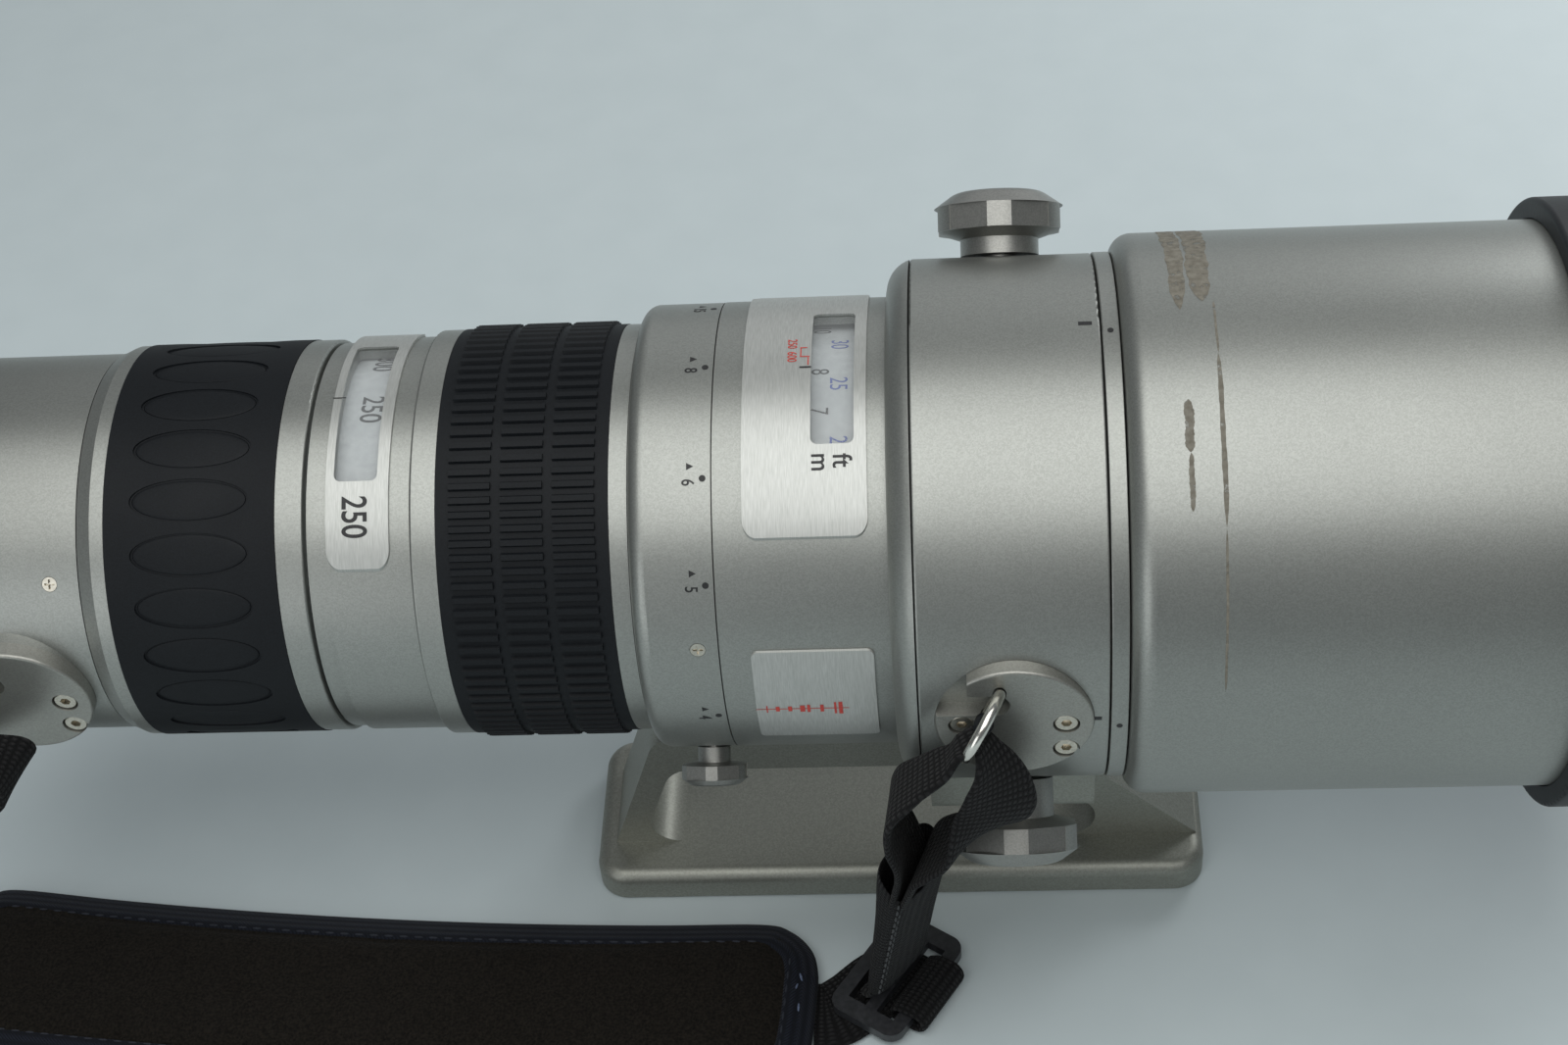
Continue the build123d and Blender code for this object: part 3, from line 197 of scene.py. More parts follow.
def enamel(name, dark, light, rough, flake=0.0003):
    """Enamel whose flakes are shaded from dark to light and are about flake metres across."""
    made, shader = new_finish(name, enamel_metal, Coat_Weight=0.08, Coat_Roughness=0.3)
    place = add(made, "ShaderNodeTexCoord")
    flakes = add(made, "ShaderNodeTexVoronoi", Scale=1 / flake)
    wire(made, place.outputs["Object"], flakes.inputs["Vector"])
    shade = add(made, "ShaderNodeSeparateColor")
    wire(made, flakes.outputs["Color"], shade.inputs["Color"])
    wire(made, between(made, shade.outputs["Red"], dark, light, 0.0, 1.0), shader.inputs["Base Color"])
    wire(made, number(made, noise(made, cloud_size, detail=2), *rough), shader.inputs["Roughness"])
    peel = relief(made, shader, noise(made, peel_size), peel_depth, peel_strength)
    relief(made, shader, shade.outputs["Green"], flake_depth, flake_strength, peel)
    return made


champagne = enamel("champagne_enamel", (0.30, 0.31, 0.29), (0.36, 0.37, 0.35), (0.38, 0.46))
lug_enamel = enamel("lug_enamel", (0.31, 0.31, 0.285), (0.38, 0.38, 0.35), (0.4, 0.5))
knob_enamel = enamel("knob_enamel", (0.27, 0.27, 0.255), (0.33, 0.33, 0.31), (0.34, 0.44))
foot_enamel = enamel("foot_enamel", (0.30, 0.305, 0.27), (0.37, 0.375, 0.335), (0.45, 0.55), 0.0004)
print("enamels:", [made.name for made in (champagne, lug_enamel, knob_enamel, foot_enamel)])

# %% [markdown]
# ## Rubber, plated metal, glass and paint
# These finishes only need the right grain. Brushed plates get noise that is stretched into
# hairlines across the barrel. The windows are clear plastic: an alpha value lets the drum behind
# them take the light, where real refraction would leave it in shadow.

# %% Make the other finishes
grip_rubber = grained(
    "grip_rubber", (0.003, 0.004, 0.0055), (0.006, 0.008, 0.0105), 0.0004, (0.52, 0.7), 0.00002,
    Specular_IOR_Level=0.24)
cap_shell = grained(
    "cap_grain", (0.006, 0.0075, 0.009), (0.011, 0.013, 0.016), 0.0012, (0.48, 0.6), 0.00004,
    Specular_IOR_Level=0.35)
nickel = grained(
    "bright_nickel", (0.66, 0.64, 0.59), (0.80, 0.78, 0.72), 0.003, (0.14, 0.26), 0.000004, 1.0)
screw_steel = grained(
    "screw_steel", (0.50, 0.47, 0.40), (0.66, 0.62, 0.54), 0.0006, (0.22, 0.36), 0.00001, 1.0)
dark_steel = grained(
    "blackened_steel", (0.02, 0.02, 0.022), (0.045, 0.045, 0.05), 0.001, (0.3, 0.45), 0.00001, 0.9)
turned_steel = grained(
    "turned_steel", (0.45, 0.45, 0.45), (0.62, 0.62, 0.61), 0.002, (0.24, 0.4), 0.00001, 1.0,
    (1, 8, 8))
satin_chrome = grained(
    "satin_chrome", (0.60, 0.60, 0.58), (0.74, 0.74, 0.72), 0.004, (0.2, 0.34), 0.000006, 1.0,
    (6, 1, 1))
gold = grained(
    "contact_gold", (0.75, 0.52, 0.18), (0.90, 0.68, 0.30), 0.0008, (0.2, 0.3), 0.000003, 1.0)
anodised = grained(
    "black_anodised", (0.010, 0.010, 0.011), (0.026, 0.026, 0.028), 0.0007, (0.4, 0.6), 0.00001, 0.3)
black_enamel = grained(
    "black_enamel", (0.012, 0.012, 0.013), (0.028, 0.028, 0.03), 0.0009, (0.35, 0.5), 0.00001)
black_nylon = grained(
    "moulded_nylon", (0.018, 0.019, 0.021), (0.035, 0.036, 0.04), 0.0012, (0.28, 0.42), 0.00002)
scale_paint = grained(
    "scale_drum_paint", (0.42, 0.45, 0.46), (0.50, 0.53, 0.54), 0.002, (0.4, 0.5), 0.000004)
brushed = grained(
    "brushed_plate", (0.42, 0.43, 0.41), (0.54, 0.55, 0.53), 0.0016, (0.36, 0.46), 0.00001, 0.6,
    (9, 0.5, 0.5))
clear = grained(
    "clear_window", (0.80, 0.84, 0.85), (0.86, 0.89, 0.90), 0.006, (0.05, 0.1), 0.000002, Alpha=0.1)
glass = grained(
    "coated_glass", (0.04, 0.10, 0.09), (0.10, 0.05, 0.12), 0.05, (0.02, 0.05), 0.000001,
    Transmission_Weight=0.6, IOR=1.6)


def ink(name, low, high):
    return grained(name, low, high, 0.0006, (0.45, 0.6), 0.000004)


black_ink = ink("black_ink", (0.010, 0.010, 0.011), (0.02, 0.02, 0.021))
blue_ink = ink("blue_ink", (0.05, 0.08, 0.30), (0.08, 0.12, 0.38))
red_ink = ink("red_ink", (0.50, 0.04, 0.03), (0.62, 0.07, 0.05))
glue = grained(
    "old_glue", (0.15, 0.135, 0.105), (0.25, 0.235, 0.195), 0.0014, (0.7, 0.85), 0.00003)
thin_cover, full_cover = (0.1, 0.1, 0.1), (0.9, 0.9, 0.9)
glue_cover = between(glue, noise(glue, 0.0018, detail=4), thin_cover, full_cover, 0.28, 0.44)
wire(glue, glue_cover, glue.node_tree.nodes["Principled BSDF"].inputs["Alpha"])
print("finishes:", len(bpy.data.materials))

# %% [markdown]
# ## Dress the CAD parts
# A CAD part keeps its shape here. It only changes its material, so one list from material to part
# names is enough. A last check names any part that was forgotten.

# %% Give each CAD part its material
dressing = {
    champagne: "tripod_collar rear_barrel mid_barrel window_housing collar_flange index_ring "
               "front_barrel zoom_ring focus_ring limiter_ring",
    foot_enamel: "tripod_foot",
    lug_enamel: "front_strap_lug rear_strap_lug",
    knob_enamel: "collar_knob_upper collar_knob_lower limiter_knob",
    grip_rubber: "zoom_grip focus_grip front_ring_guard",
    cap_shell: "front_cap",
    nickel: "front_strap_ring rear_strap_ring",
    screw_steel: "front_lug_screws rear_lug_screws barrel_screws limiter_screws mount_screws",
    dark_steel: "foot_screws iris_unit",
    turned_steel: "foot_bushes",
    satin_chrome: "bayonet_mount",
    gold: "mount_contacts",
    anodised: "main_tube rear_frame front_cell filter_drawer variator_carriage "
              "compensator_carriage focus_carriage",
    black_enamel: "aperture_ring",
    black_nylon: "strap_slider",
    scale_paint: "distance_scale zoom_scale",
    brushed: "distance_plate side_plate zoom_plate",
    clear: "distance_window zoom_window",
    glass: "rear_elements front_elements drawer_filter variator_elements compensator_elements "
           "focus_elements",
}
# the soft parts get new pieces in their place, further on
soft_parts = {"strap_web_front", "strap_keeper", "strap_web_adjuster", "strap_pad", "pad_binding",
              "strap_web_rear"}
dressed = set()
for made, names in dressing.items():
    for name in names.split():
        parts[name].data.materials.clear()
        parts[name].data.materials.append(made)
        dressed.add(name)
print("dressed:", len(dressed), "still bare:", sorted(set(parts) - dressed - soft_parts))

# %% [markdown]
# ## Printed figures
# Figures are printed round the barrel. Blender's own text makes them: it is turned into a mesh, cut
# into narrow strips, so that it can bend, and then wrapped on a cylinder. The top of each figure
# points to the subject, and a row of figures reads from the far side to the near side.

# %% Helpers that select, wrap and attach a piece
barrel_roll = radians(2.4)     # how far the barrel is turned in its collar
print_lift = 0.04 * mm         # from the paint to the middle of the ink
ink_half = 0.015 * mm
strip_width = 1.2 * mm
capital_share = 0.7            # a capital letter's height, as a share of the text's size


def select_only(piece):
    bpy.ops.object.select_all(action="DESELECT")
    piece.select_set(True)
    bpy.context.view_layer.objects.active = piece


def slice_across(piece, step):
    """Cuts a flat piece into strips of a width along its X axis."""
    low = min(vertex.co.x for vertex in piece.data.vertices)
    high = max(vertex.co.x for vertex in piece.data.vertices)
    select_only(piece)
    bpy.ops.object.mode_set(mode="EDIT")
    place = low + step
    while place < high:
        bpy.ops.mesh.select_all(action="SELECT")
        bpy.ops.mesh.bisect(plane_co=(place, 0, 0), plane_no=(1, 0, 0))
        place += step
    bpy.ops.object.mode_set(mode="OBJECT")


def wrap(piece, station, angle, radius, roll=barrel_roll):
    """Lays a flat piece on the barrel: its X runs round to the near side and its Y to the subject."""
    for vertex in piece.data.vertices:
        across, along, lift = vertex.co
        round_to = radians(angle) + roll + across / radius
        reach = radius + lift
        vertex.co = (station + along, -sin(round_to) * reach, axis_height + cos(round_to) * reach)


def attach(piece, name, body, made):
    """Names a finished piece, gives it its material and lets it move with a body."""
    piece.name = name
    piece.data.name = name
    piece.data.materials.clear()
    piece.data.materials.append(made)
    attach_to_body(piece, body)
    return piece


def join(pieces):
    """Makes one object of several."""
    bpy.ops.object.select_all(action="DESELECT")
    for piece in pieces:
        piece.select_set(True)
    bpy.context.view_layer.objects.active = pieces[0]
    bpy.ops.object.join()
    return pieces[0]


def figure(words, height, station, angle, radius, narrow=0.85, bold=0.0):
    """One printed word on the barrel; station is its middle. Millimetres and degrees."""
    bpy.ops.object.select_all(action="DESELECT")
    bpy.ops.object.text_add()
    piece = bpy.context.object
    piece.data.body = words
    piece.data.size = height * mm / capital_share
    piece.data.extrude = ink_half
    piece.data.offset = bold * mm
    piece.data.align_x = "CENTER"
    bpy.ops.object.convert(target="MESH")
    for vertex in piece.data.vertices:
        vertex.co.x *= narrow
        vertex.co.y -= height * mm / 2
        vertex.co.z += print_lift
    slice_across(piece, strip_width)
    wrap(piece, station * mm, angle, radius * mm)
    return piece


def mark(width, length, station, angle, radius, roll=barrel_roll, sides=4):
    """A printed bar, dot or triangle: width runs round the barrel and length along it."""
    bpy.ops.object.select_all(action="DESELECT")
    bpy.ops.mesh.primitive_cylinder_add(vertices=sides, radius=0.5, depth=2 * ink_half)
    piece = bpy.context.object
    if sides == 4:     # the primitive stands on a corner, so it is turned flat
        for vertex in piece.data.vertices:
            vertex.co.x, vertex.co.y = vertex.co.x + vertex.co.y, vertex.co.y - vertex.co.x
    for vertex in piece.data.vertices:
        vertex.co.x *= width * mm
        vertex.co.y *= length * mm
        vertex.co.z += print_lift
    slice_across(piece, strip_width)
    wrap(piece, station * mm, angle, radius * mm, roll)
    return piece


print("figure helpers ready")

# %% [markdown]
# ### Scales under the windows
# The distance scale is in metres, in black, and in feet, in blue, on a drum that turns with the
# focusing ring. The zoom scale's drum turns with the zoom ring. The figures ride on those bodies, so
# they pass under the windows as the rings turn.

# %% Print the two drums
metre_figures = (("15", -64.0), ("12", -43.5), ("10", -24.8), ("8", -3.5), ("7", 10.1), ("6", 25.5),
                 ("5", 45.0), ("4", 70.0))
foot_figures = (("50", -57.0), ("40", -36.0), ("30", -15.7), ("25", 1.1), ("20", 20.0), ("15", 44.0),
                ("13", 60.0))
zoom_figures = (("250", -0.3), ("300", -25.0), ("400", -42.0), ("500", -57.0), ("600", -72.3))
distance_drum, zoom_drum = 48.2, 43.4
for name, body, scale, height, station, radius, narrow, bold, made in (
    ("distance_metres", "focus_control", metre_figures, 4.0, -10.8, distance_drum, 0.72, 0.0, black_ink),
    ("distance_feet", "focus_control", foot_figures, 4.0, -6.6, distance_drum, 0.72, 0.0, blue_ink),
    ("zoom_figures", "zoom_control", zoom_figures, 5.0, -113.3, zoom_drum, 0.78, 0.05, black_ink),
):
    figures = [figure(words, height, station, angle, radius, narrow, bold) for words, angle in scale]
    attach(join(figures), name, body, made)
print("figures on the drums:", len(metre_figures) + len(foot_figures) + len(zoom_figures))

# %% [markdown]
# ### Marks on the barrel
# The index lines tell which figure counts. The limiter ring carries distances, each with a dot on its
# front edge and a small arrow. Dots on the barrel and bars on the collar show how it lies in there.

# %% Print the barrel's marks
plate_radius, zoom_plate_radius, limiter_radius = 53.28, 47.48, 52.5
index_radius, collar_radius, hood_radius = 61.4, 61.2, 65.5
figures = [
    figure("ft", 4.2, -5.5, 26.2, plate_radius, narrow=0.9, bold=0.06),
    figure("m", 4.2, -10.2, 26.5, plate_radius, narrow=0.9, bold=0.06),
    mark(0.45, 2.6, -13.8, 0.4, plate_radius),
]
attach(join(figures), "distance_index", "barrel", black_ink)
figures = [
    figure("250", 2.1, -16.8, -8.0, plate_radius, narrow=0.75),
    figure("600", 2.1, -16.8, -3.2, plate_radius, narrow=0.75),
    mark(0.25, 1.6, -14.3, -6.4, plate_radius), mark(0.25, 2.2, -14.0, -3.2, plate_radius),
    mark(3.2, 0.25, -14.9, -4.8, plate_radius), mark(2.4, 0.25, -13.2, -1.6, plate_radius),
]
attach(join(figures), "depth_index", "barrel", red_ink)
figures = [
    figure("250", 5.6, -114.6, 35.9, zoom_plate_radius, narrow=0.8, bold=0.1),
    mark(0.3, 3.0, -120.0, -0.15, zoom_plate_radius),
]
attach(join(figures), "zoom_index", "barrel", black_ink)
# a small drawing of the glass, in red, on the plate at the near side: each bar's station, height, wall
glass_bars = ((-25.0, 2.6, 0.3), (-22.6, 1.8, 0.9), (-19.8, 1.8, 0.9), (-17.0, 2.4, 1.1), (-15.6, 2.8, 0.7),
              (-12.6, 2.6, 0.8), (-9.6, 4.4, 0.5), (-8.4, 4.6, 0.9))
drawing_angle = 92.4
figures = [mark(0.16, 21.0, -17.0, drawing_angle, plate_radius)]
figures += [mark(height, wall, station, drawing_angle, plate_radius) for station, height, wall in glass_bars]
attach(join(figures), "glass_drawing", "barrel", red_ink)
preset_distances = (("8", -1.4), ("6", 29.4), ("5", 55.2), ("4", 96.0), ("15", -31.6))
figures = []
for words, angle in preset_distances:
    figures.append(figure(words, 2.8, -39.4, angle + 0.9, limiter_radius, narrow=0.8, bold=0.04))
    figures.append(mark(1.9, 2.1, -39.3, angle - 3.0, limiter_radius, sides=3))
    figures.append(mark(1.5, 1.5, -36.3, angle, limiter_radius, sides=20))
attach(join(figures), "limiter_figures", "range_limiter", black_ink)
dots = [mark(1.4, 1.4, 53.3, angle, index_radius, sides=20) for angle in (0.0, 90.0, 180.0, 270.0)]
attach(join(dots), "turn_dots", "barrel", black_ink)
bars = [mark(1.1, 3.0, 47.9, angle, collar_radius, roll=0) for angle in (0.0, 90.0, -90.0)]
attach(join(bars), "collar_index", "tripod_mount", black_ink)
print("marks printed")

# %% [markdown]
# ### Old glue on the hood end
# A strip of tape left its glue round the front barrel. It is a thin, ragged skin: a grid whose sides
# are moved in and out by three fixed waves, then wrapped on the barrel as the figures are.

# %% Leave the glue marks
edge_share, taper_power = 0.82, 8
edge_waves = ((0.1, 9, 1), (0.07, 31, 3), (0.05, 83, 0))     # depth, pace, and how far a side shifts it


def stain(width, length, station, angle, seed):
    """A ragged patch of glue, in millimetres and degrees; width runs round the barrel."""
    bpy.ops.object.select_all(action="DESELECT")
    bpy.ops.mesh.primitive_grid_add(x_subdivisions=48, y_subdivisions=8, size=1)
    piece = bpy.context.object
    for vertex in piece.data.vertices:
        across, along = vertex.co.x, vertex.co.y
        side = seed if along > 0 else seed + 2
        waves = (depth * sin(across * pace + side * shift) for depth, pace, shift in edge_waves)
        ragged = edge_share + sum(waves)
        taper = max(0.0, 1 - abs(2 * across) ** taper_power)
        vertex.co.x = across * width * mm
        vertex.co.y = along * length * mm * ragged * taper
        vertex.co.z = print_lift
    wrap(piece, station * mm, angle, hood_radius * mm)
    return piece


patches = [
    stain(58.6, 4.6, 68.2, -26.8, 1.0), stain(56.0, 6.2, 73.2, -27.9, 2.2), stain(15.0, 0.6, 75.5, 3.1, 4.7),
    stain(38.9, 1.3, 75.4, 26.6, 5.3), stain(38.3, 0.7, 75.4, 60.3, 2.6),
    stain(11.8, 2.4, 68.4, 24.4, 3.1), stain(12.6, 1.4, 68.5, 35.1, 0.4),
]
attach(join(patches), "glue_marks", "barrel", glue)
print("glue patches:", len(patches))

# %% [markdown]
# ## Pads in the zoom grip
# The zoom grip has a row of long ovals. The CAD sleeve has their recesses. Each gets a low rubber dome,
# so that a thin groove stays round it. One dome is a sphere, cut in half and flattened, and the
# rest are copies of it, turned round the barrel.

# %% Model one dome and copy it round
oval_count = 24
oval_half_length, oval_half_width, oval_height = 13.1 * mm, 4.55 * mm, 0.42 * mm
oval_station, oval_floor = -152.55 * mm, 46.52 * mm
bpy.ops.object.select_all(action="DESELECT")
bpy.ops.mesh.primitive_uv_sphere_add(segments=40, ring_count=16, radius=1)
dome = bpy.context.object
bpy.ops.object.mode_set(mode="EDIT")
bpy.ops.mesh.select_all(action="SELECT")
bpy.ops.mesh.bisect(plane_co=(0, 0, 0), plane_no=(0, 0, 1), clear_inner=True, use_fill=True)
bpy.ops.object.mode_set(mode="OBJECT")
for vertex in dome.data.vertices:
    x, y, z = vertex.co
    vertex.co = (x * oval_half_length, y * oval_half_width, z * oval_height)
domes = []
for index in range(oval_count):
    copy = dome.copy()
    copy.data = dome.data.copy()
    bpy.context.collection.objects.link(copy)
    lift = Matrix.Translation((oval_station, 0, oval_floor))
    turned = Matrix.Rotation(radians(index * 360 / oval_count) + barrel_roll, 4, "X")
    copy.data.transform(Matrix.Translation((0, 0, axis_height)) @ turned @ lift)
    domes.append(copy)
bpy.data.objects.remove(dome)
grip_domes = attach(join(domes), "zoom_grip_domes", "zoom_control", grip_rubber)
select_only(grip_domes)
bpy.ops.object.shade_smooth()
print("domes:", len(domes))

# %% [markdown]
# ## Woven webbing
# Flat straps are modelled directly: a cross-section with rounded edges follows a few stations, each
# with a place, a direction across and a width. The stations are few, and a smooth curve runs through
# them. The mesh keeps the distance along and across it as a UV map, in centimetres, so that the weave
# follows every bend.

# %% Model a strap through stations
# half of the cross-section, as shares of the strap's width and wall, from one edge over the top
top_shares = [(-0.5, 0.0), (-0.47, 0.36), (-0.42, 0.5), (-0.2, 0.5), (0, 0.5), (0.2, 0.5), (0.42, 0.5),
              (0.47, 0.36)]
profile_shares = top_shares + [(-across, -lift) for across, lift in top_shares]
look_share = 0.002     # how far ahead and back the strap's direction is measured
weave_scale = 100      # the weave's map is in centimetres
strap_crease = radians(50)


def smooth_between(values, share):
    """A place on a smooth curve through a row of vectors; share runs from 0 to 1."""
    spans = len(values) - 1
    index = min(int(share * spans), spans - 1)
    part = share * spans - index
    before = values[max(index - 1, 0)]
    start, end = values[index], values[index + 1]
    after = values[min(index + 2, spans)]
    return 0.5 * (2 * start + (end - before) * part
                  + (2 * before - 5 * start + 4 * end - after) * part ** 2
                  + (3 * start - before - 3 * end + after) * part ** 3)


def sweep(stations, wall, count, closed):
    """The strap's points, and for each row of them the length so far and the width, in metres."""
    places = [Vector(place) * mm for place, across, width in stations]
    sides = [Vector(across).normalized() for place, across, width in stations]
    widths = [Vector((width * mm, 0, 0)) for place, across, width in stations]
    points, rows, travelled = [], [], 0.0
    last = None
    for step in range(count + (0 if closed else 1)):
        share = step / count
        place = smooth_between(places, share)
        ahead = (smooth_between(places, min(share + look_share, 1))
                 - smooth_between(places, max(share - look_share, 0)))
        ahead.normalize()
        side = smooth_between(sides, share)
        side = (side - ahead * side.dot(ahead)).normalized()
        face = ahead.cross(side)
        width = smooth_between(widths, share).x
        travelled += (place - last).length if last is not None else 0.0
        last = place
        for across, lift in profile_shares:
            points.append(place + side * (across * width) + face * (lift * wall * mm))
        rows.append((travelled, width))
    return points, rows


def skin(rows, closed):
    """The faces between the rows, and the place of each of their corners on the weave's map."""
    size = len(profile_shares)
    faces, coordinates = [], []
    for row in range(len(rows) - (0 if closed else 1)):
        following = (row + 1) % len(rows)
        start, width = rows[row]
        end = rows[following][0] if following else rows[-1][0] + 1 * mm
        for column in range(size):
            beside = (column + 1) % size
            faces.append((row * size + column, row * size + beside, following * size + beside,
                          following * size + column))
            for distance, edge in ((start, column), (start, beside), (end, beside), (end, column)):
                across = profile_shares[edge][0] * width
                coordinates.append((distance * weave_scale, across * weave_scale))
    if not closed:
        faces.append(tuple(reversed(range(size))))
        faces.append(tuple(range((len(rows) - 1) * size, len(rows) * size)))
        coordinates += [(0, 0)] * (2 * size)
    return faces, coordinates


def cloth_piece(name, points, faces, coordinates):
    """A new object of these faces, turned outwards, with the weave's map on their corners."""
    mesh = bpy.data.meshes.new(name)
    mesh.from_pydata(points, [], faces)
    weave = mesh.uv_layers.new(name="weave")
    for loop, place in zip(weave.data, coordinates):
        loop.uv = place
    piece = bpy.data.objects.new(name, mesh)
    bpy.context.collection.objects.link(piece)
    select_only(piece)
    bpy.ops.object.mode_set(mode="EDIT")
    bpy.ops.mesh.select_all(action="SELECT")
    bpy.ops.mesh.normals_make_consistent(inside=False)
    bpy.ops.object.mode_set(mode="OBJECT")
    return piece


def strap(stations, wall, steps=10, closed=False):
    """A flat strap through (place, across, width) stations in millimetres, and its length in metres."""
    stations = list(stations) + ([stations[0]] if closed else [])
    points, rows = sweep(stations, wall, (len(stations) - 1) * steps, closed)
    piece = cloth_piece("strap", points, *skin(rows, closed))
    bpy.ops.object.shade_smooth_by_angle(angle=strap_crease)
    return piece, rows[-1][0]


print("strap helper ready")

# %% [markdown]
# ### The weave
# Webbing is woven so thickly that each crossing stands up as a bead. Two waves make the beads, one
# along the strap and one across it, and their product lifts the surface. The same product also sets
# the colour: painted highlight on the tops of the beads and painted shade between them. The braid round
# the pad is a herringbone: the rows of one wave turn back where the distance across changes its sign.

# %% Make webbing, braid and velour
fuzz_size, fuzz_share = 0.5 * mm, 0.4
cloth_rough = (0.7, 0.9)


def woven(name, dark, light, along, across, depth, slant=0.0):
    """Cloth of crossing waves; along and across are the threads' spacings in millimetres. Dark is painted
    shade between the beads and light is painted highlight on their tops.
    """
    made, shader = new_finish(name, Sheen_Weight=0.04, Sheen_Roughness=0.5, Specular_IOR_Level=0.2)
    place = add(made, "ShaderNodeUVMap", uv_map="weave")
    apart = add(made, "ShaderNodeSeparateXYZ")
    wire(made, place.outputs["UV"], apart.inputs["Vector"])
    beyond = add(made, "ShaderNodeMath", operation="ABSOLUTE")
    wire(made, apart.outputs["Y"], beyond.inputs[0])
    slanted = add(made, "ShaderNodeMath", operation="MULTIPLY_ADD")
    wire(made, beyond.outputs["Value"], slanted.inputs[0])
    slanted.inputs[1].default_value = slant
    wire(made, apart.outputs["X"], slanted.inputs[2])
    waves = []
    for source, spacing, shift in ((slanted.outputs["Value"], along, 0.0),
                                   (apart.outputs["Y"], across, 1.2)):
        angle = add(made, "ShaderNodeMath", operation="MULTIPLY_ADD")
        wire(made, source, angle.inputs[0])
        angle.inputs[1].default_value = 2 * pi * 10 / spacing     # ten millimetres to a centimetre
        angle.inputs[2].default_value = shift
        wave = add(made, "ShaderNodeMath", operation="SINE")
        wire(made, angle.outputs["Value"], wave.inputs[0])
        lifted = add(made, "ShaderNodeMapRange")
        lifted.inputs["From Min"].default_value = -1
        wire(made, wave.outputs["Value"], lifted.inputs["Value"])
        waves.append(lifted.outputs["Result"])
    crossing = add(made, "ShaderNodeMath", operation="MULTIPLY")
    wire(made, waves[0], crossing.inputs[0])
    wire(made, waves[1], crossing.inputs[1])
    fuzz = noise(made, fuzz_size)
    mixed = add(made, "ShaderNodeMath", operation="MULTIPLY_ADD")
    wire(made, fuzz, mixed.inputs[0])
    mixed.inputs[1].default_value = fuzz_share
    wire(made, crossing.outputs["Value"], mixed.inputs[2])
    # the colour follows the bead height: painted shade low between the beads, painted highlight on their
    # tops, with fuzz for a random tone
    wire(made, between(made, mixed.outputs["Value"], dark, light, 0.15, 0.95), shader.inputs["Base Color"])
    wire(made, number(made, fuzz, *cloth_rough), shader.inputs["Roughness"])
    relief(made, shader, mixed.outputs["Value"], depth)
    return made


# in both cloths the light colour is painted highlight on the beads and the dark one painted shade between
# them
webbing = woven("black_webbing", (0.0015, 0.0015, 0.0018), (0.014, 0.014, 0.015), 1.7, 1.2, 0.0006)
braid = woven("navy_braid", (0.003, 0.004, 0.007), (0.011, 0.014, 0.024), 1.0, 2.6, 0.0002, slant=1.2)
velour, velour_shader = new_finish("brown_velour", Sheen_Weight=0.05, Sheen_Roughness=0.4,
                                   Specular_IOR_Level=0.15)
pile = noise(velour, 0.0007, detail=5)
nap = noise(velour, 0.012, detail=2)
brown = between(velour, pile, (0.003, 0.0026, 0.002), (0.015, 0.0125, 0.0095))
wire(velour, brown, velour_shader.inputs["Base Color"])
wire(velour, number(velour, nap, 0.85, 1.0), velour_shader.inputs["Roughness"])
brushed_nap = relief(velour, velour_shader, nap, 0.0004, 0.4)
relief(velour, velour_shader, pile, 0.0003, 0.8, brushed_nap)


def thread(name, low, high):
    return grained(name, low, high, 0.0004, (0.7, 0.85), 0.00004)


dark_thread = thread("dark_thread", (0.006, 0.008, 0.014), (0.02, 0.024, 0.036))
grey_thread = thread("grey_thread", (0.03, 0.032, 0.034), (0.08, 0.083, 0.086))
blue_thread = thread("blue_thread", (0.05, 0.07, 0.13), (0.16, 0.20, 0.30))
print("cloth finishes ready")

# %% [markdown]
# ### The strap at the front ring
# The webbing passes through the ring and both ends come back together below it, so it hangs as a loop
# with two leaves. Below, a sewn sleeve holds them, and a three-bar slider sets the length.

# %% Hang the front webbing
web_wall, folded_wall = 1.7, 1.5
leaves = (
    ((5.0, -64.6, 66.0), (0.5, 0.86, 0.0), 19.0), ((4.6, -66.0, 78.0), (0.25, 0.97, 0.0), 19.6),
    ((3.6, -68.5, 88.5), (0.1, 1.0, 0.05), 20.0), ((2.2, -70.8, 99.0), (0.1, 1.0, 0.15), 19.5),
    ((3.6, -72.6, 109.0), (0.2, 1.0, 0.25), 16.5), ((9.5, -73.4, 116.8), (0.3, 0.95, 0.3), 12.5),
    ((15.2, -73.4, 122.2), (0.3, 0.9, 0.3), 9.5), ((18.6, -72.3, 126.2), (0.32, 0.85, 0.2), 7.5),
    ((22.4, -71.2, 127.0), (0.3, 0.8, -0.1), 7.0), ((25.2, -73.2, 121.6), (0.7, 0.65, -0.2), 11.0),
    ((26.2, -74.4, 114.0), (0.9, 0.4, -0.05), 16.0), ((25.4, -74.8, 105.0), (0.95, 0.28, 0.08), 19.5),
    ((21.2, -74.0, 96.4), (0.85, 0.45, 0.28), 20.0), ((14.4, -71.2, 88.2), (0.55, 0.78, 0.3), 20.0),
    ((9.4, -67.8, 79.5), (0.35, 0.93, 0.1), 19.6), ((7.6, -65.0, 66.0), (0.5, 0.86, 0.0), 19.0),
)
front_web, front_length = strap(leaves, web_wall, steps=12)
attach(front_web, "front_webbing", "tripod_mount", webbing)
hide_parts("strap_web_front")
print("front webbing, mm:", round(front_length / mm))

# %% [markdown]
# The sleeve is a short tube of the same webbing, sewn along one side. It is open at its top, where the
# two leaves go in, so it is modelled as a band that runs right round them.

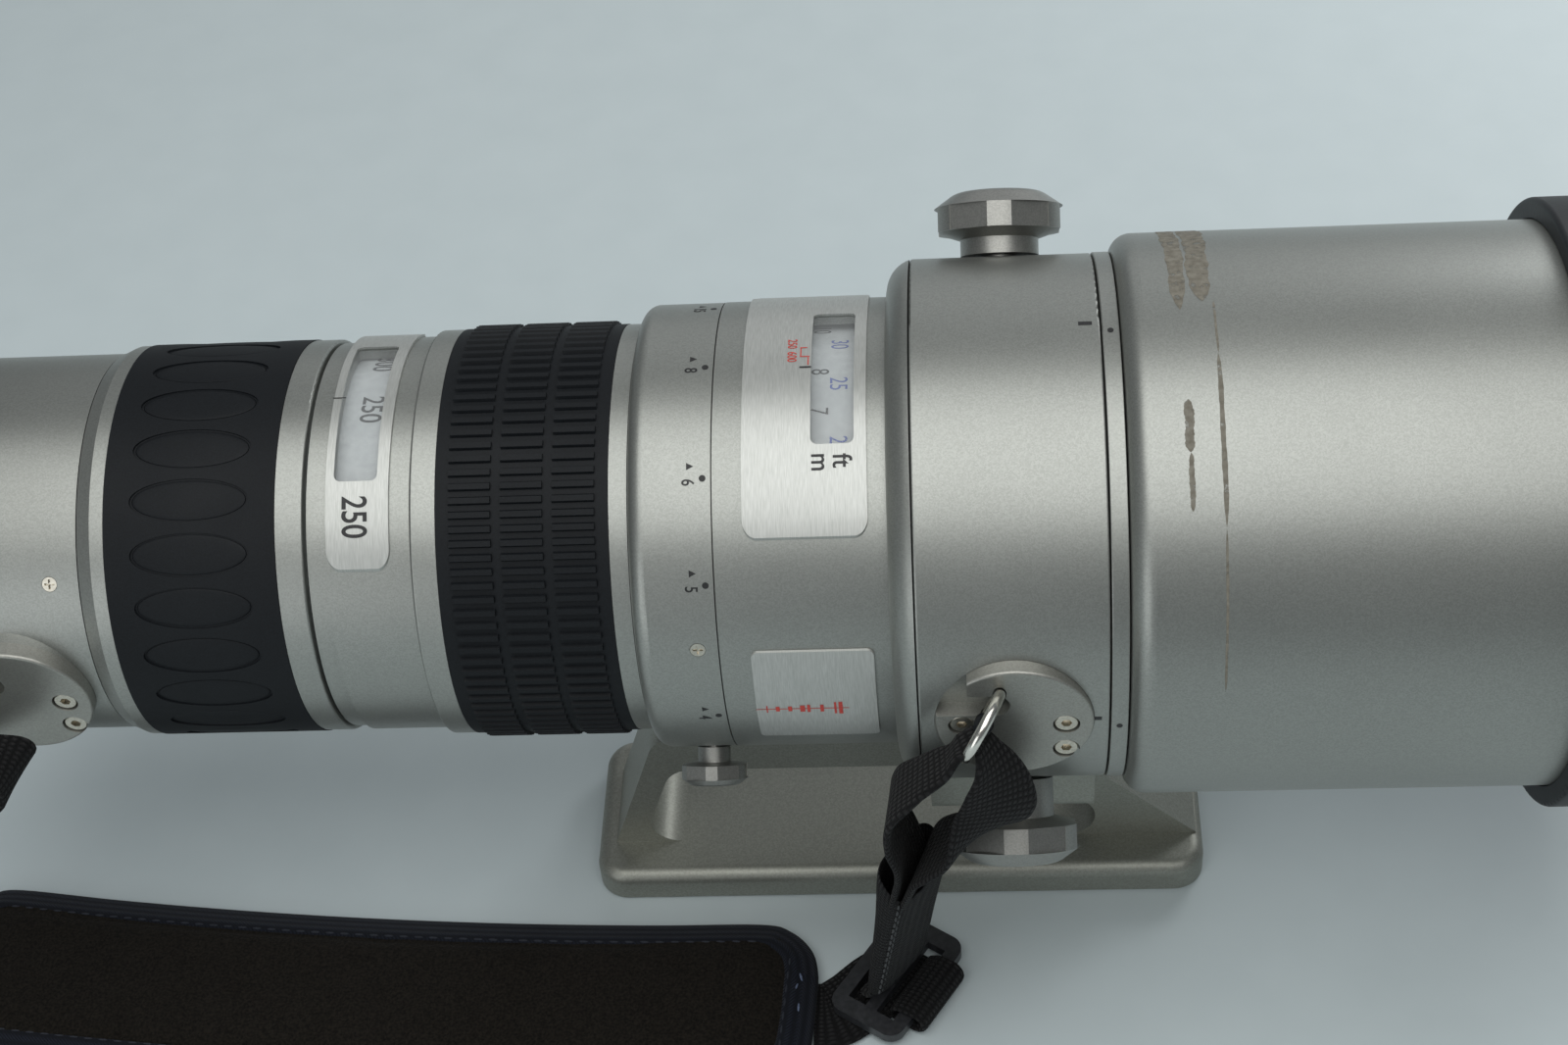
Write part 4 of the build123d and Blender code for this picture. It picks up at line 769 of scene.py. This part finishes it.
# %% Sew the sleeve
sleeve_side = Vector((0.64, 0.77, 0)).normalized()
sleeve_face = Vector((0.77, -0.64, 0)).normalized()
sleeve_rings = (
    # middle of the ring, half width, half wall, and how much its near side is tipped down
    ((6.2, -64.4, 73.0), 10.6, 4.8, 1.1), ((4.8, -62.2, 58.0), 10.4, 3.9, 0.2),
    ((3.0, -59.6, 42.0), 10.3, 3.4, 0.2), ((1.2, -57.0, 26.5), 10.3, 3.1, 0.2),
    ((-0.4, -54.8, 12.5), 10.2, 2.7, 0.2),
)
sleeve_wall = 1.3 * mm
sleeve_columns = 24
round_share, flat_share = 0.8, 0.5     # powers under 1 make a circle boxy
row_pitch, girth = 1.55, 4.4           # the weave's lengths on the sleeve, in centimetres


def boxy(turn, power, reach):
    """A cosine or sine that is pressed towards its ends, times a reach."""
    return abs(turn) ** power * (1 if turn > 0 else -1) * reach


def round_out(piece, levels):
    """Subdivides and smooths the selected piece."""
    bpy.ops.object.modifier_add(type="SUBSURF")
    piece.modifiers[-1].levels = levels
    piece.modifiers[-1].render_levels = levels
    bpy.ops.object.modifier_apply(modifier=piece.modifiers[-1].name)
    bpy.ops.object.shade_smooth()


bands = []
for centre, half_width, half_wall, tip in sleeve_rings:
    for column in range(sleeve_columns):
        angle = radians(column * 360 / sleeve_columns)
        aside = boxy(cos(angle), flat_share, half_width)
        out = boxy(sin(angle), round_share, half_wall)
        tipped = Vector((0, 0, -out * tip))
        bands.append((Vector(centre) + sleeve_side * aside + sleeve_face * out + tipped) * mm)
faces, coordinates = [], []
for row in range(len(sleeve_rings) - 1):
    for column in range(sleeve_columns):
        corners = ((row, column), (row, column + 1), (row + 1, column + 1), (row + 1, column))
        faces.append([ring * sleeve_columns + place % sleeve_columns for ring, place in corners])
        for ring, place in corners:
            coordinates.append((ring * row_pitch, (place / sleeve_columns - 0.5) * girth))
sleeve = cloth_piece("strap_sleeve", bands, faces, coordinates)
bpy.ops.object.modifier_add(type="SOLIDIFY")
sleeve.modifiers[-1].thickness = sleeve_wall
sleeve.modifiers[-1].offset = -1
bpy.ops.object.modifier_apply(modifier=sleeve.modifiers[-1].name)
round_out(sleeve, 2)
attach(sleeve, "strap_sleeve", "tripod_mount", webbing)
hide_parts("strap_keeper")
print("sleeve faces:", len(sleeve.data.polygons))

# %% [markdown]
# Two rows of grey stitches close the sleeve. One helper sews every seam of the strap: it makes one
# bead, copies it to each place and turns it along the seam.

# %% Sew its seam
stitch_half = (1.3 * mm, 0.32 * mm, 0.28 * mm)     # along the seam, across it and outwards


def sew(places, made, name):
    """Stitches: a bead at each (place, direction), in millimetres, joined into one piece."""
    bpy.ops.object.select_all(action="DESELECT")
    bpy.ops.mesh.primitive_uv_sphere_add(segments=8, ring_count=6, radius=1)
    bead = bpy.context.object
    stitches = []
    for place, run in places:
        copy = bead.copy()
        copy.data = bead.data.copy()
        bpy.context.collection.objects.link(copy)
        heading = Vector(run).to_track_quat("X", "Z").to_matrix().to_4x4()
        shape = Matrix.Diagonal((*stitch_half, 1))
        copy.data.transform(Matrix.Translation(Vector(place) * mm) @ heading @ shape)
        stitches.append(copy)
    bpy.data.objects.remove(bead)
    return attach(join(stitches), name, "tripod_mount", made)


seam_count, seam_drop = 16, 6
seam_asides = (-9.2, -8.0)
seam_out, seam_sink = 2.9, 1.0     # the sleeve gets flatter to its lower end
seam_start = Vector(sleeve_rings[0][0]) - Vector((0, 0, seam_drop))
seam_run = Vector(sleeve_rings[-1][0]) - seam_start
seam = []
for step in range(seam_count):
    share = step / seam_count
    for aside in seam_asides:
        out = seam_out - seam_sink * share
        place = seam_start + seam_run * share + sleeve_side * aside + sleeve_face * out
        seam.append((place, seam_run))
sew(seam, grey_thread, "sleeve_seam")
print("seam stitches:", len(seam))

# %% [markdown]
# ### The strap's floor end
# From the pad the webbing runs flat under the slider, folds up round its far rail and goes down again
# through the slot beside its middle bar. A second, short run comes out of the sleeve and goes into the
# other slot.

# %% Thread the adjuster webbing
slider_middle = Vector((-0.4, -51.4, 0))
rail_run = (0.545, 0.839, 0.0)
web_width = 19.6


def past_slider(reach, height):
    """A station so far from the slider's middle bar, measured across its rails."""
    place = slider_middle + Vector((rail_run[1], -rail_run[0], 0)) * reach + Vector((0, 0, height))
    return tuple(place), rail_run, web_width


adjuster = (
    ((-21.9, -61.4, 1.2), (0.07, 1.0, 0.0), web_width), ((-17.0, -61.0, 1.2), (0.09, 1.0, 0.0), web_width),
    ((-11.5, -57.5, 1.2), (0.1, 1.0, 0.0), web_width), past_slider(-2.0, 1.2), past_slider(8.0, 1.05),
    past_slider(12.6, 1.6), past_slider(14.0, 4.3), past_slider(12.0, 6.9), past_slider(8.0, 6.7),
    past_slider(5.0, 5.0), past_slider(4.0, 2.6),
)
floor_web, floor_length = strap(adjuster, folded_wall, steps=8)
short_run = (
    ((0.0, -55.4, 18.0), (0.64, 0.77, 0.0), 19.0), ((-1.2, -54.0, 11.0), (0.6, 0.8, 0.0), 19.4),
    past_slider(-3.0, 6.4), past_slider(-4.2, 2.8),
)
sleeve_end, short_length = strap(short_run, folded_wall, steps=6)
floor_web = join([floor_web, sleeve_end])
attach(floor_web, "adjuster_webbing", "tripod_mount", webbing)
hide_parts("strap_web_adjuster")
print("adjuster webbing, mm:", round(floor_length / mm), "and its short run:", round(short_length / mm))

# %% [markdown]
# ### The rear strap
# Behind the lens the webbing leaves the rear ring, falls in a wide bend and comes back along the table
# to the pad. The ring turns with the barrel and the pad lies on the table; this piece is attached to
# neither body and is left where it is modelled.

# %% Hang the rear webbing
pad_turn = radians(-4.2)
pad_middle = Vector((-139.0, -52.5, 0.0))
pad_along = Vector((cos(pad_turn), sin(pad_turn), 0))
pad_across = Vector((-sin(pad_turn), cos(pad_turn), 0))
rear_reach, rear_height, straight_run = 117.4, 1.2, 8
rear_join = pad_middle - pad_along * rear_reach + Vector((0, 0, rear_height))
rear_places = (
    (tuple(rear_join), tuple(pad_across), 20.0),
    (tuple(rear_join - pad_along * straight_run), tuple(pad_across), 20.0),
    ((-285.0, -43.5, 1.3), (0, 1, 0), 20.0), ((-306.5, -46.0, 5.4), (0, 1, 0), 20.0),
    ((-320.0, -48.5, 18.4), (0, 1, 0), 20.0), ((-317.0, -51.5, 38.0), (0, 1, 0), 20.0),
    ((-298.0, -54.5, 61.5), (0, 1, 0), 20.0), ((-269.0, -57.5, 86.0), (0, 1, 0.05), 19.0),
    ((-237.5, -59.5, 106.0), (0, 1, 0.15), 15.0), ((-219.5, -60.0, 117.0), (0, 1, 0.25), 10.5),
)
rear_web, rear_length = strap(rear_places, web_wall, steps=12)
rear_leaf = (
    ((-219.0, -59.6, 119.0), (0, 1, 0.25), 9.5), ((-210.5, -61.5, 121.6), (0.2, 1, -0.1), 7.5),
    ((-203.0, -63.0, 120.5), (0.3, 1, -0.2), 10.0), ((-197.2, -63.5, 115.5), (0.4, 0.95, 0.0), 14.0),
    ((-199.5, -62.5, 108.5), (0.3, 0.95, 0.2), 17.0), ((-211.0, -60.5, 103.5), (0.1, 1, 0.1), 19.0),
    ((-230.0, -59.5, 101.5), (0, 1, 0), 19.0), ((-252.0, -58.5, 97.0), (0, 1, 0), 18.5),
)
second_leaf, leaf_length = strap(rear_leaf, web_wall, steps=12)
rear_web = join([rear_web, second_leaf])
rear_web.name = "rear_webbing"
rear_web.data.name = "rear_webbing"
rear_web.data.materials.append(webbing)
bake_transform(rear_web)
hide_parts("strap_web_rear")
print("rear webbing, mm:", round(rear_length / mm), "and its second leaf:", round(leaf_length / mm))

# %% [markdown]
# ## The shoulder pad
# The pad is foam under velour. Foam covered in cloth looks right when it is blown up a little, so a
# block with rounded corners is remeshed, and cloth pressure swells it. Its points may
# only move so far, because real foam hardly stretches.

# %% Block out the pad and swell it
foam_length, foam_width, foam_wall = 226 * mm, 41.5 * mm, 6.0 * mm
foam_corner = 7.5 * mm
foam_grid = 2.2 * mm
swell_pressure, swell_frames = 4, 20
swell_limit = 1.6 * mm     # how far a point of the foam may move
pad_bow = 5.0              # how far the pad's ends reach past its middle, sideways, at bow_reach
bow_reach = 117
deepest, seat_height = -4.0 * mm, 4.3 * mm
pad_seat = Matrix.Translation(pad_middle * mm) @ Matrix.Rotation(pad_turn, 4, "Z")
bpy.ops.object.select_all(action="DESELECT")
bpy.ops.mesh.primitive_cube_add(size=1)
pad = bpy.context.object
bpy.ops.transform.resize(value=(foam_length, foam_width, foam_wall))
bpy.ops.object.transform_apply(location=True, rotation=True, scale=True)
bpy.ops.object.mode_set(mode="EDIT")
bpy.ops.mesh.select_all(action="DESELECT")
bpy.ops.object.mode_set(mode="OBJECT")
for edge in pad.data.edges:     # only the four upright edges are rounded
    first, second = (pad.data.vertices[index].co for index in edge.vertices)
    edge.select = abs(first.z - second.z) > foam_wall / 2
bpy.ops.object.mode_set(mode="EDIT")
bpy.ops.mesh.select_mode(type="EDGE")
bpy.ops.mesh.bevel(offset=foam_corner, segments=8)
bpy.ops.object.mode_set(mode="OBJECT")
bpy.ops.object.modifier_add(type="REMESH")
pad.modifiers[-1].mode = "VOXEL"
pad.modifiers[-1].voxel_size = foam_grid
bpy.ops.object.modifier_apply(modifier=pad.modifiers[-1].name)
before = [vertex.co.copy() for vertex in pad.data.vertices]
bpy.ops.object.modifier_add(type="CLOTH")
cloth = pad.modifiers[-1]
cloth.settings.use_pressure = True
cloth.settings.uniform_pressure_force = swell_pressure
cloth.settings.effector_weights.gravity = 0
for step in range(1, swell_frames + 1):
    bpy.context.scene.frame_set(step)
bpy.ops.object.modifier_apply(modifier=cloth.name)
bpy.context.scene.frame_set(1)
for vertex, start in zip(pad.data.vertices, before):
    moved = vertex.co - start
    moved.length = min(moved.length, swell_limit)
    vertex.co = start + moved
for vertex in pad.data.vertices:
    vertex.co.y += pad_bow * mm * ((vertex.co.x / (bow_reach * mm)) ** 2 - 1)
    vertex.co.z = max(vertex.co.z, deepest) + seat_height
pad.data.transform(pad_seat)
round_out(pad, 1)
attach(pad, "shoulder_pad", "tripod_mount", velour)
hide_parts("strap_pad")
print("pad points:", len(pad.data.vertices))

# %% [markdown]
# ### The pad's braid and its stitches
# A wide herringbone braid is folded over the pad's edge and sewn down. It is the strap helper again,
# closed into a ring round the pad and tipped outwards. The stitches follow its inner edge.

# %% Bind the pad
half_length, half_width, corner = 113.6, 21.6, 12.5
braid_width, braid_wall, braid_height = 9.4, 3.4, 4.7
outward_tip = Vector((0, 0, -0.5))
side_places = (76, 50, 25, 0, -25, -50, -76)
outline = []
for side_x, side_y, start in ((1, 1, 0), (-1, 1, 90), (-1, -1, 180), (1, -1, 270)):
    centre = Vector((side_x * (half_length - corner), side_y * (half_width - corner)))
    for angle in range(start, start + 91, 30):
        outline.append((centre.x + corner * cos(radians(angle)), centre.y + corner * sin(radians(angle)),
                        cos(radians(angle)), sin(radians(angle))))
    if side_x == side_y:     # a long side follows this corner
        outline += [(x * side_x, half_width * side_y, 0, side_y) for x in side_places]


def on_pad(x, y, z):
    """A place on the bowed pad, in millimetres: x runs along the pad, y across it and z up."""
    bent = y + pad_bow * ((x / bow_reach) ** 2 - 1)
    return tuple(pad_middle + pad_along * x + pad_across * bent + Vector((0, 0, z)))


rounds = []
for x, y, away_x, away_y in outline:
    across = pad_along * away_x + pad_across * away_y + outward_tip
    rounds.append((on_pad(x, y, braid_height), tuple(across), braid_width))
binding, binding_length = strap(rounds, braid_wall, steps=6, closed=True)
attach(binding, "pad_braid", "tripod_mount", braid)
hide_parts("pad_binding")
print("braid, mm:", round(binding_length / mm))

# %% Sew the braid
seam_aside, seam_end, seam_height = 18.5, 110.5, 7.8
long_seam, short_seam = range(-100, 101, 4), range(-12, 13, 4)
seams = []
for side in (-1, 1):
    seams += [(on_pad(x, side * seam_aside, seam_height), pad_along) for x in long_seam]
    seams += [(on_pad(side * seam_end, y, seam_height), pad_across) for y in short_seam]
sew(seams, dark_thread, "pad_stitches")
# a few blue stitches have come loose at the end by the slider
loose_end, loose_height = 113.0, 6.8
loose_stray, loose_twist = 1.1, 0.4
loose = []
for y in range(-4, 14, 3):
    place = on_pad(loose_end + loose_stray * sin(y * 5), y, loose_height)
    loose.append((place, pad_across + pad_along * loose_twist * sin(y * 3)))
sew(loose, blue_thread, "loose_stitches")
print("stitches:", len(seams) + len(loose))

# %% [markdown]
# ## Table, light and sky
# The lens lies on a pale table that runs out of the picture. One large soft lamp hangs over it, so the
# metal turned to it shines and the sides stay dark. Weak ones light the far side, a corner of the table
# and the rear of the barrel. The room is dim, as the metal shows.

# %% Lay the table and hang the lamps
table_size, table_drop = 8, 0.2 * mm     # metres; the drop keeps the sole's own face in front
sky_colour, sky_strength = (0.80, 0.86, 0.90, 1), 0.18
bpy.ops.object.select_all(action="DESELECT")
bpy.ops.mesh.primitive_plane_add(size=table_size, location=(0, 0, -table_drop))
table = bpy.context.object
table.name = "table"
table_paper = grained(
    "table_paper", (0.56, 0.635, 0.655), (0.58, 0.655, 0.675), 0.02, (0.5, 0.6), 0.00001, broad=0.3)
table.data.materials.append(table_paper)


def lamp(name, place, target, size, power, colour):
    """A square lamp at a place in metres, turned to its target."""
    bpy.ops.object.light_add(type="AREA", location=place)
    made = bpy.context.object
    made.name = name
    made.data.size = size
    made.data.energy = power
    made.data.color = colour
    made.rotation_euler = (Vector(target) - Vector(place)).to_track_quat("-Z", "Y").to_euler()


lamp("soft_top", (-0.02, -0.3, 1.15), (0, 0, 0.1), 1.3, 11.2, (1.0, 1.0, 0.98))
lamp("soft_back", (0.0, 1.35, 0.75), (0, 0, 0.1), 1.2, 2.0, (0.97, 0.99, 1.0))
lamp("soft_corner", (0.5, 0.64, 0.42), (0.27, 0.38, 0), 0.3, 1.7, (0.97, 0.99, 1.0))
lamp("soft_front", (-0.6, -0.85, 0.3), (-0.2, 0, 0.08), 0.6, 1.6, (0.96, 0.99, 1.0))
world = bpy.data.worlds.new("pale_sky")
bpy.context.scene.world = world
world.use_nodes = True
sky = world.node_tree.nodes["Background"]
sky.inputs["Color"].default_value = sky_colour
sky.inputs["Strength"].default_value = sky_strength
print("lamps and table ready")
